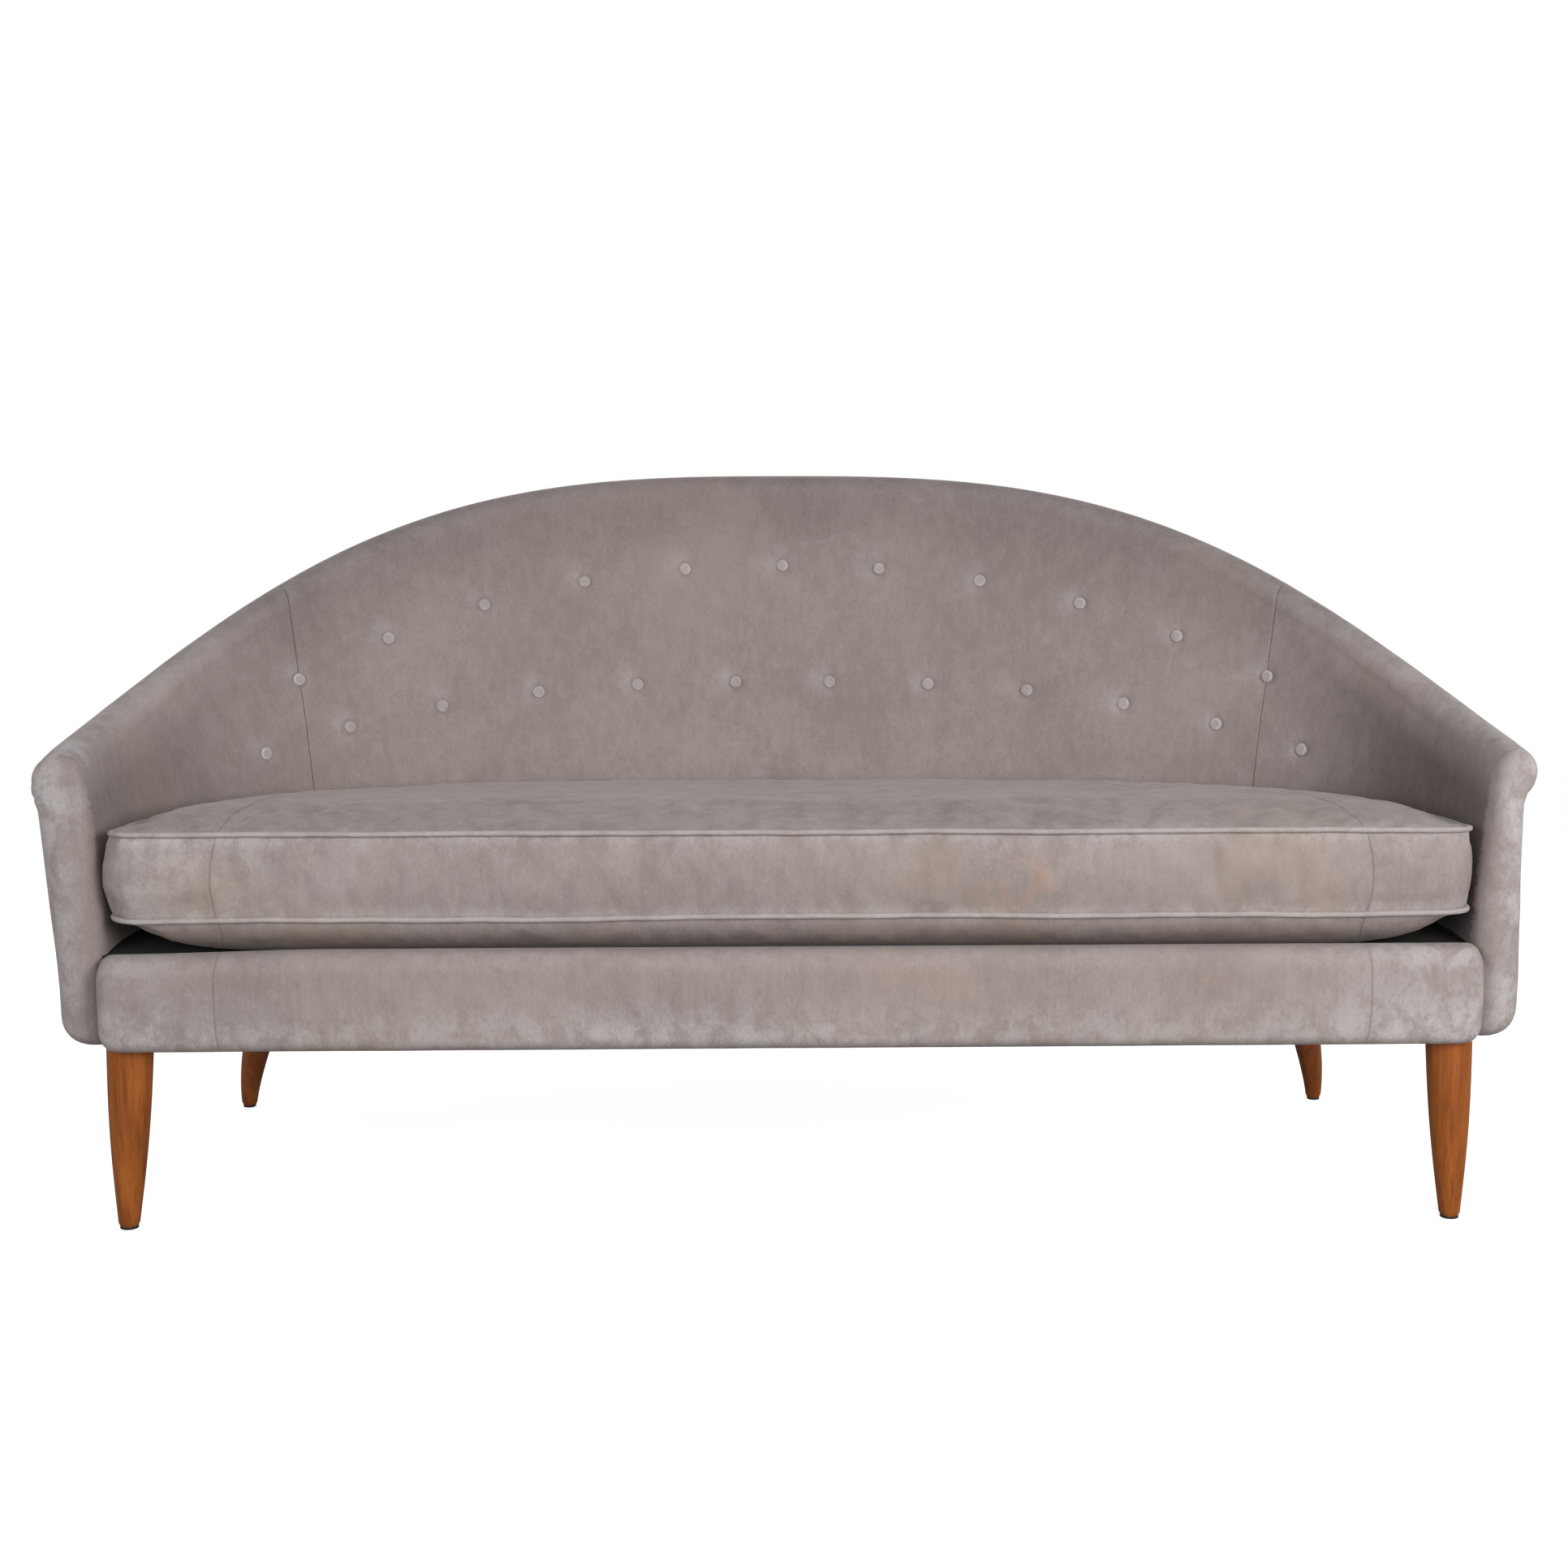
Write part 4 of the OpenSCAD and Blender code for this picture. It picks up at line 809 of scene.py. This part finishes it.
def d_sheet(name, edge, front_y, front_x, z, sag, seed):
    """A level D-shaped sheet: rings from its edge in to its middle, sagging a little."""
    angles = np.linspace(-90, 90, 121)
    x, y = off_plan(angles, edge(angles))
    rim = [(-front_x, front_y)] + list(zip(x, y)) + [(front_x, front_y)]
    rim += [(front_x * (1 - 2 * k / SHEET_FRONT_STEPS), front_y) for k in range(1, SHEET_FRONT_STEPS)]
    rim = np.array(rim)
    points = []
    for t in np.linspace(1, 0.04, SHEET_RINGS):
        level = np.full(len(rim), z + sag * math.sin(math.pi / 2 * (1 - t)))
        points.append(np.column_stack([SHEET_CENTRE + (rim - SHEET_CENTRE) * t, level]))
    points = np.array(points)
    bend = unit(np.arange(SHEET_RINGS) / 4.0)[:, None]
    points[..., 2] += ripple(points, 70, 0.8, seed) * bend
    faces = ring_faces(SHEET_RINGS, len(rim)) + [ring_cap(SHEET_RINGS - 1, len(rim))]
    return build(name, points, faces), rim


deck, deck_rim = d_sheet("seat_deck", deck_edge, -19.5, 784.0, DECK_Z - 0.2, -1.5, 8)
weld(deck, SMALL_WELD)
thicken(deck, DECK_T)
finish_piece(deck, DECK_CLOTH_SHADE, FRAME_BODY, "deck_cover", "seat_felt")

dust, dust_rim = d_sheet("dust_cover_cloth", dust_edge, -25.7, 784.7, BODY_Z + COVER_T - 1.0, -4.0, 9)
weld(dust, SMALL_WELD)
thicken(dust, DUST_T, 1.0)
finish_piece(dust, DUST_CLOTH, FRAME_BODY, "dust_cover")


# Buttons covered in velvet: (radius, height) from the stem round the rim to the crown's middle.
BUTTON_PROFILE = ((0.0, 0.4), (2.0, 0.4), (2.0, 1.3), (6.6, 1.4), (7.6, 1.9), (8.0, 2.7), (7.9, 3.5),
                  (7.3, 4.3), (6.2, 4.9), (4.9, 5.15), (3.4, 5.1), (1.8, 4.9), (0.0, 4.8))
BUTTON_TURNS = 28


def button_frame(s, z):
    """Middle of a button's seat, and the direction out of the face."""
    up = face_point(s, z + 4.0) - face_point(s, z - 4.0)
    side = face_point(s + 0.3, z) - face_point(s - 0.3, z)
    out = np.cross(up, side)
    out = out / np.linalg.norm(out)
    if out[1] > 0:
        out = -out
    return face_point(s, z, DIMPLE), out


def covered_buttons():
    circle = [2 * math.pi * k / BUTTON_TURNS for k in range(BUTTON_TURNS)]
    points, faces, wear_and_light = [], [], []
    for s, z in buttons():
        middle, out = button_frame(s, z)
        side = np.cross(out, (0, 0, 1.0))
        side = side / np.linalg.norm(side)
        up = np.cross(side, out)
        start = len(points)
        for radius, height in BUTTON_PROFILE:
            for a in circle:
                spoke = side * math.cos(a) + up * math.sin(a)
                points.append(middle + out * height + spoke * max(radius, 0.02))
                wear_and_light.append(0.9 if 5.5 < radius and height > 2 else 0.15)
        faces += ring_faces(len(BUTTON_PROFILE), BUTTON_TURNS, start, flip=True)
    obj = build("covered_buttons", points, faces, {"wear_and_light": wear_and_light})
    weld(obj, SMALL_WELD)
    finish_piece(obj, VELVET_TRIM, FRAME_BODY, "tufting_buttons")


covered_buttons()


# Legs.
GLIDE_H, LEG_TOP_Z = 3.0, 222.0
FRONT_LEG_X, FRONT_SPLAY, FRONT_LEG_R, FRONT_FOOT_R = 765.0, 11.0, 27.0, 12.0
REAR_LEG_AT, REAR_IN, REAR_OUT, REAR_CURVE, REAR_FILL = 55.0, 40.0, 160.0, 1.55, 2.1
REAR_LEG_A, REAR_LEG_B, REAR_FOOT_A, REAR_FOOT_B = 31.0, 20.0, 11.0, 9.5
LEG_TURNS, LEG_LEVELS = 48, 60


def leg_piece(name, ring, side):
    """A leg as level ellipses: ring(h) gives each one's middle, its two radii and how far it is turned."""
    points = []
    for j in range(LEG_LEVELS + 1):
        h = j / LEG_LEVELS
        x, y, a, b, turn = ring(h)
        z = GLIDE_H + (LEG_TOP_Z - GLIDE_H) * h
        toe = min(1.0, (z - GLIDE_H) / 4.0)
        trim = 1 - 0.12 * (1 - math.sqrt(1 - (1 - toe) ** 2))
        for k in range(LEG_TURNS):
            t = 2 * math.pi * k / LEG_TURNS
            u, v = trim * a * math.cos(t), trim * b * math.sin(t)
            points.append((side * (x + u * math.cos(turn) - v * math.sin(turn)),
                           y + u * math.sin(turn) + v * math.cos(turn), z))
    faces = ring_faces(LEG_LEVELS + 1, LEG_TURNS)
    faces += [ring_cap(0, LEG_TURNS, flip=True), ring_cap(LEG_LEVELS, LEG_TURNS)]
    obj = build(name + "_wood", points, faces)
    weld(obj, TINY_WELD)
    edge = obj.modifiers.new("corners", "EDGE_SPLIT")
    edge.split_angle = math.radians(50)
    finish_piece(obj, BEECH_SHADED if name.startswith("rear") else BEECH, FRAME_BODY, name)


def front_leg_ring(h):
    r = FRONT_FOOT_R + (FRONT_LEG_R - FRONT_FOOT_R) * h + 3 * math.sin(math.pi * h)
    return FRONT_LEG_X + FRONT_SPLAY * (1 - h), 0.0, r, r, 0.0


def rear_leg_ring(h):
    out, w = 1 - h ** REAR_CURVE, 1 - (1 - h) ** REAR_FILL
    s = np.array(REAR_LEG_AT)
    x, y = off_plan(s, REAR_IN + (REAR_OUT - REAR_IN) * out)
    nx, ny = plan(s)[2:]
    return (float(x), float(y), REAR_FOOT_A + (REAR_LEG_A - REAR_FOOT_A) * w,
            REAR_FOOT_B + (REAR_LEG_B - REAR_FOOT_B) * w, math.atan2(float(ny), float(nx)))


for side, name in SIDES:
    leg_piece("front_leg_" + name, front_leg_ring, side)
    leg_piece("rear_leg_" + name, rear_leg_ring, side)


# Seat cushion: built LEAN_IN mm too lean and with a low crown, then blown up as cloth with its piped edges and
# its resting face held.
CUSHION_GAP, CUSHION_REACH, BORDER_H, BORDER_LIFT = 8.0, 35.0, 96.0, 47.0
CUSHION_TILT, CROWN, CORNER_R, PIPING_R = 38.0, 24.0, 34.0, 3.1
CUSHION_X = SEAT_W / 2 - CUSHION_GAP
CUSHION_MID = np.array([0.0, 0.42 * SEAT_D])
LEAN_IN, CROWN_LACK, QUICK_CROWN_LACK, REST_GAP = 1.5, 14.0, 7.0, 0.6
CORNER_STEPS, FRONT_STEPS, TOP_RINGS, BORDER_RINGS = 10, 130, 26, 12
VOXEL, BLOWN_CAP, HELD_EDGE = 0.006, 0.011, 5.0


def cushion_edge(d):
    """(x, y) round the cushion, from the left side round the back to the right, and along the front."""
    angles = np.linspace(-90, 90, 181)
    x, y = off_plan(angles, np.full_like(angles, d - CUSHION_GAP))
    r, cy = CORNER_R + d, -CUSHION_REACH + CORNER_R
    pts = list(zip(x, y))
    pts += [(CUSHION_X - CORNER_R + r * math.cos(a), cy + r * math.sin(a))
            for a in arc(0, -90, CORNER_STEPS)[1:]]
    flat = CUSHION_X - CORNER_R
    pts += [(flat * (1 - 2 * k / FRONT_STEPS), -CUSHION_REACH - d) for k in range(1, FRONT_STEPS)]
    pts += [(-CUSHION_X + CORNER_R + r * math.cos(a), cy + r * math.sin(a))
            for a in arc(-90, -180, CORNER_STEPS)[:-1]]
    return np.array(pts)


def low_edge_z(y):
    """Drawn height of the cushion's lower edge: it falls towards the back."""
    return DECK_Z + BORDER_LIFT - CUSHION_TILT * (y + CUSHION_REACH) / (SEAT_D + CUSHION_REACH)


def seam_wave(x, seed):
    """How far a piped edge wanders up and down along its length."""
    return np.array([3.0 * noise.noise(Vector((v / 170.0, seed * 3.7, 0.2)))
                     + 0.9 * noise.noise(Vector((v / 45.0, seed * 7.1, 1.4))) for v in x])


def top_edge(xy):
    return low_edge_z(xy[:, 1]) + BORDER_H + 0.6 * seam_wave(xy[:, 0], 1)


def low_edge(xy):
    return low_edge_z(xy[:, 1]) + seam_wave(xy[:, 0], 2)


def cushion_mesh(crown, lean_in):
    """Closed mesh of the cushion as rings from the top's middle over the border to the underside's middle."""
    edge = cushion_edge(-lean_in)
    shares = np.sin(np.linspace(0.03, 1, TOP_RINGS) * math.pi / 2)
    fullness = 3 * (np.linalg.norm(edge - CUSHION_MID, axis=1) / 330.0) ** 0.8
    rings = []
    for t in shares:
        xy = CUSHION_MID + (edge - CUSHION_MID) * t
        level = top_edge(edge) * t ** 2 + (1 - t ** 2) * (low_edge_z(xy[:, 1]) + BORDER_H)
        rings.append(np.column_stack([xy, level + crown * (1 - t ** fullness)]))
    for t in np.linspace(1, 0, BORDER_RINGS)[1:-1]:
        xy = cushion_edge(3.0 * math.sin(math.pi * t) - lean_in)
        rings.append(np.column_stack([xy, low_edge(edge) * (1 - t) + top_edge(edge) * t]))
    for t in shares[::-1]:
        xy = CUSHION_MID + (edge - CUSHION_MID) * t
        edge_z = low_edge(edge)
        full = (1 - t ** 25) * (1 - np.minimum(1, np.abs(xy[:, 0]) / CUSHION_X) ** 15)
        rest = np.where(xy[:, 1] < ROLL_BACK + 2, ROLL_TOP, DECK_Z) + REST_GAP
        rings.append(np.column_stack([xy, np.maximum(rest, edge_z - (edge_z - DECK_Z) * full)]))
    count = len(edge)
    faces = ring_faces(len(rings), count, flip=True)
    faces += [ring_cap(0, count), ring_cap(len(rings) - 1, count, flip=True)]
    return np.concatenate(rings), faces


def per_vertex(mesh, key):
    flat = np.empty(len(mesh.vertices) * 3)
    mesh.vertices.foreach_get(key, flat)
    return flat.reshape(-1, 3)


def to_layout(points):
    """The opposite of settle."""
    p = points / MM
    p[:, 1] -= LAYOUT_Y
    return p


def edge_distance(points, edge_xyz):
    """Distance of each point from a closed line of points, in millimetres."""
    tree = KDTree(len(edge_xyz))
    for k, p in enumerate(edge_xyz):
        tree.insert(p, k)
    tree.balance()
    return np.array([tree.find(p)[2] for p in points])


def dense_line(xyz, step=1.5):
    """A closed line with a point every step millimetres."""
    closed = np.vstack([xyz, xyz[:1]])
    length = np.concatenate([[0], np.cumsum(np.linalg.norm(np.diff(closed, axis=0), axis=1))])
    at = np.arange(0, length[-1], step)
    return np.column_stack([np.interp(at, length, closed[:, k]) for k in range(3)])


CLOTH_FRAMES = 20
CLOTH = {"vertex_group_mass": "held", "pin_stiffness": 1.0, "use_pressure": True, "uniform_pressure_force": 4.0,
         "shrink_min": -0.012, "tension_stiffness": 22, "compression_stiffness": 22, "bending_stiffness": 2.5,
         "quality": 4}


def blow_up(obj, still, cap):
    """Runs Blender's cloth on obj with the points in still held, then keeps each move within cap metres."""
    before = per_vertex(obj.data, "co")
    group = obj.vertex_groups.new(name="held")
    for weight in np.unique(still):
        if weight > 0:
            group.add([int(i) for i in np.nonzero(still == weight)[0]], float(weight), "REPLACE")
    cloth = obj.modifiers.new("cloth", "CLOTH")
    for key, value in CLOTH.items():
        setattr(cloth.settings, key, value)
    cloth.settings.effector_weights.gravity = 0.0
    cloth.collision_settings.use_collision = False
    cloth.point_cache.frame_end = CLOTH_FRAMES
    for step in range(1, CLOTH_FRAMES + 1):
        bpy.context.scene.frame_set(step)
    shaped = obj.evaluated_get(bpy.context.evaluated_depsgraph_get())
    after = per_vertex(shaped.to_mesh(), "co")
    shaped.to_mesh_clear()
    obj.modifiers.remove(cloth)
    obj.vertex_groups.clear()
    bpy.context.scene.frame_set(1)
    move = after - before
    size = np.linalg.norm(move, axis=1, keepdims=True)
    move = move * np.minimum(1, cap / np.maximum(size, 1e-9))
    obj.data.vertices.foreach_set("co", (before + move).ravel())
    obj.data.update()


def remesh(obj, voxel):
    mod = obj.modifiers.new("remesh", "REMESH")
    mod.mode = "VOXEL"
    mod.voxel_size = voxel
    mod.use_smooth_shade = True
    graph = bpy.context.evaluated_depsgraph_get()
    mesh = bpy.data.meshes.new_from_object(obj.evaluated_get(graph))
    obj.modifiers.clear()
    obj.data = mesh


def worn_relief(place, normal, near_edge):
    """How far old filling pushes the cover out: lumps, the border's bulge, and creases at the ends."""
    x, y, z = place.T
    left = x < 0
    free = unit((z - DECK_Z - 4) / 8.0) * unit((near_edge - 3) / 12)
    soft = ripple(place, 110, 1.6, 11) + ripple(place, 38, 0.7, 12)
    span = unit((z - low_edge_z(y)) / BORDER_H)
    at_end = unit((np.abs(x) - CUSHION_X + 90) / 90)
    bulge = np.sin(math.pi * span) * (2.0 + np.where(left, 4.5, 0.0) * at_end)
    bulge *= unit(np.hypot(normal[:, 0], normal[:, 1]) * 1.6 - 0.6)
    ends = dip(np.abs(x) - CUSHION_X, 170) * dip(y + CUSHION_REACH, 40)
    creases = ends * np.array([noise.noise(Vector((p[0] / 160.0, p[1] / 90.0, p[2] / 15.0))) for p in place])
    creases *= np.where(left, 3.4, 1.8)
    return (soft + creases) * free + bulge


def cushion_masks(place, normal, near_edge):
    """Pale rubbed nap at the piped edges; painted light on the top and front faces, most at the left end;
    painted shade where the cushion turns under.
    """
    x, y, z = place.T
    front, up = unit(-normal[:, 1]), unit(normal[:, 2])
    # Rubbed nap at the piped edges; painted light on the front and top faces, most at the left end.
    wear_and_light = 0.42 * dip(near_edge, 11.0) + front * (0.08 + 0.36 * dip(x + CUSHION_X, 210)) + 0.32 * up
    # Painted shade under the cushion, where it turns under.
    under = unit((low_edge_z(y) + 2 - z) / 30)
    return {"wear_and_light": unit(wear_and_light) * (1 - under), "laid": under ** 1.3}


def measure(obj, lines):
    """Each point's place, and its distance from the nearest of the lines."""
    place = to_layout(per_vertex(obj.data, "co"))
    return place, np.minimum(*(edge_distance(place, line) for line in lines))


def cushion():
    crown_lack = CROWN_LACK
    points, faces = cushion_mesh(CROWN - crown_lack, LEAN_IN)
    obj = build("seat_cushion_upholstery", points, faces)
    weld(obj, TINY_WELD)
    remesh(obj, VOXEL)
    edge = cushion_edge(-LEAN_IN)
    lines = [dense_line(np.column_stack([edge, height(edge)])) for height in (top_edge, low_edge)]
    place, near_edge = measure(obj, lines)
    resting = (place[:, 2] < DECK_Z + 12) | ((place[:, 2] < ROLL_TOP + 4) & (place[:, 1] < 5))
    blow_up(obj, np.where((near_edge < HELD_EDGE) | resting, 1.0, 0.0), BLOWN_CAP)
    place, near_edge = measure(obj, lines)
    normal = per_vertex(obj.data, "normal")
    moved = place + normal * worn_relief(place, normal, near_edge)[:, None]
    obj.data.vertices.foreach_set("co", settle(moved).ravel())
    set_masks(obj.data, cushion_masks(place, normal, near_edge))
    obj.data.update()
    smooth = obj.modifiers.new("subdivision", "SUBSURF")
    smooth.levels = smooth.render_levels = 1
    finish_piece(obj, VELVET_CUSHION, CUSHION_BODY,
                 "cushion_core", "cushion_top_panel", "cushion_bottom_panel", "cushion_border")


cushion()
CORD_TURNS, CORD_STEP = 12, 5.0


def piping(name, height, seed, out, lift, node):
    """A covered cord along a piped edge, drawn in a little at the cushion's corners."""
    edge = cushion_edge(-LEAN_IN)
    corner = unit((np.abs(edge[:, 0]) - CUSHION_X + 60) / 50)
    behind = unit((edge[:, 1] + CUSHION_REACH) / 60)
    shift = np.where(edge[:, 0] < 0, -2.0, -0.6) * corner
    line = cushion_edge(out) + (cushion_edge(out + 1.0) - cushion_edge(out)) * shift[:, None]
    xyz = dense_line(np.column_stack([line, height(edge) + lift * (1 - 2.6 * behind)]), CORD_STEP)
    along = np.roll(xyz, -1, axis=0) - np.roll(xyz, 1, axis=0)
    along /= np.linalg.norm(along, axis=1, keepdims=True)
    side = np.cross(along, (0, 0, 1.0))
    side /= np.linalg.norm(side, axis=1, keepdims=True)
    up = np.cross(side, along)
    swell = 1 + 0.10 * np.array([noise.noise(Vector(p) / 14.0 + Vector((0, 0, seed * 9.1))) for p in xyz])
    points = []
    for k, middle in enumerate(xyz):
        for q in range(CORD_TURNS):
            a = 2 * math.pi * q / CORD_TURNS
            reach = PIPING_R * swell[k]
            points.append(middle + reach * (side[k] * math.cos(a) + up[k] * math.sin(a)))
    faces = ring_faces(len(xyz), CORD_TURNS, wrap=True)
    obj = build(name, points, faces, {"wear_and_light": np.full(len(points), 0.45)})
    weld(obj, TINY_WELD)
    finish_piece(obj, VELVET_TRIM, CUSHION_BODY, node)


piping("cushion_top_piping_cord", top_edge, 1, 0.2, 1.4, "cushion_top_piping")
piping("cushion_bottom_piping_cord", low_edge, 2, 1.0, -1.0, "cushion_bottom_piping")


# Everything of the CAD frame that stays: its materials by slot.
KEPT = {"raw_beech": RAW_BEECH, "jute": JUTE, "padding": FELT, "steel": STEEL, "glide_steel": GLIDE_STEEL,
        "zip_tape": ZIP_TAPE, "velvet": VELVET, "beech": BEECH, "dust_cloth": DUST_CLOTH}
for entry in frame["record"]["subparts"]:
    node = frame["nodes"][entry["node"]]
    node.data.materials.clear()
    node.data.materials.append(KEPT[entry["material_slot"]])


# Studio: floor, light and camera. The floor fades to the white surround between two distances.
WORLD_GLOW = (0.22, 0.22, 0.23, 1)
FLOOR = 9000.0
FLOOR_FADE = (1.0, 2.3)
FLOOR_LIFT = 0.66
FLOOR_BOUNCE = (0.22, 0.21, 0.20)


def surround():
    """White where the camera sees it, and a dim glow for everything else."""
    world = bpy.data.worlds.new("studio")
    bpy.context.scene.world = world
    world.use_nodes = True
    tree = world.node_tree
    back = tree.nodes["Background"]
    path = tree.nodes.new("ShaderNodeLightPath")
    seen = tree.nodes.new("ShaderNodeMix")
    seen.data_type = "RGBA"
    seen.inputs[6].default_value = WORLD_GLOW
    seen.inputs[7].default_value = (1, 1, 1, 1)
    tree.links.new(path.outputs["Is Camera Ray"], seen.inputs[0])
    tree.links.new(seen.outputs[2], back.inputs["Color"])


def lay_floor():
    """Pale paint that lifts the shadow for the camera and turns white far out."""
    floor = build("floor", [(-FLOOR, -FLOOR, 0), (FLOOR, -FLOOR, 0), (FLOOR, FLOOR, 0), (-FLOOR, FLOOR, 0)],
                  [(0, 1, 2, 3)], smooth=False)
    g = Graph("floor_paint")
    seen = g.add("ShaderNodeLightPath").outputs["Is Camera Ray"]
    pale = g.over(g.noise(2.0), (0.88, 0.88, 0.88), (0.90, 0.90, 0.90))
    paint = g.finish(Base_Color=g.over(seen, FLOOR_BOUNCE, pale), Roughness=0.9, Specular_IOR_Level=0.1)
    away = g.add("ShaderNodeVectorMath", {0: g.place}, operation="LENGTH").outputs["Value"]
    far = g.step(away, *FLOOR_FADE)
    lift = g.times(seen, FLOOR_LIFT)
    glow = g.add("ShaderNodeEmission", {"Color": (1, 1, 1, 1), "Strength": lift})
    near = g.add("ShaderNodeAddShader", {0: g.shader.outputs["BSDF"], 1: glow.outputs["Emission"]}).outputs[0]
    white = g.add("ShaderNodeEmission", {"Color": (1, 1, 1, 1), "Strength": 1.0}).outputs["Emission"]
    blend = g.add("ShaderNodeMixShader", {0: g.times(far, seen), 1: near, 2: white})
    g.put(g.tree.nodes["Material Output"].inputs["Surface"], blend.outputs["Shader"])
    floor.data.materials.append(paint)


def area_light(name, place, aim, size, power, colour=(1, 1, 1)):
    lamp = bpy.data.lights.new(name, "AREA")
    lamp.shape = "RECTANGLE"
    lamp.size, lamp.size_y = size
    lamp.energy = power
    lamp.color = colour
    obj = bpy.data.objects.new(name, lamp)
    obj.location = place
    obj.rotation_euler = (Vector(aim) - Vector(place)).to_track_quat("-Z", "Y").to_euler()
    obj.visible_camera = False
    bpy.context.collection.objects.link(obj)


# The camera as fitted to the photo: its place in metres, how far it looks down and to the side, and its lens.
CAMERA_PLACE, CAMERA_DOWN, CAMERA_TURN = (-0.0778, -3.1415, 1.045), 10.429, -1.351
CAMERA_LENS, CAMERA_SENSOR = 58.14, 36.0


def camera():
    lens = bpy.data.cameras.new("camera")
    lens.lens, lens.sensor_width = CAMERA_LENS, CAMERA_SENSOR
    lens.clip_end = 60
    obj = bpy.data.objects.new("camera", lens)
    obj.location = CAMERA_PLACE
    obj.rotation_euler = (math.radians(90 - CAMERA_DOWN), 0, math.radians(CAMERA_TURN))
    bpy.context.collection.objects.link(obj)
    bpy.context.scene.camera = obj


surround()
lay_floor()
area_light("key", (2.0, -2.7, 1.5), (0, 0, 0.35), (1.4, 1.4), 66, (1.0, 0.99, 0.975))
area_light("fill", (-2.0, -2.8, 1.4), (0, 0, 0.35), (1.4, 1.4), 32, (0.98, 0.99, 1.0))
area_light("front", (0.1, -3.7, 1.4), (0, 0, 0.35), (2.2, 1.2), 22)
area_light("top", (0, 0.2, 3.2), (0, 0, 0.4), (2.6, 1.6), 4)
area_light("left_rim", (-2.8, 0.9, 1.0), (0, 0, 0.4), (1.2, 1.4), 12)
area_light("behind", (0, 3.4, 1.7), (0, 0, 0.4), (2.4, 1.4), 34)
area_light("right_rim", (2.8, 0.9, 1.0), (0, 0, 0.4), (1.2, 1.4), 16)
camera()
bpy.context.scene.view_settings.view_transform = "Standard"
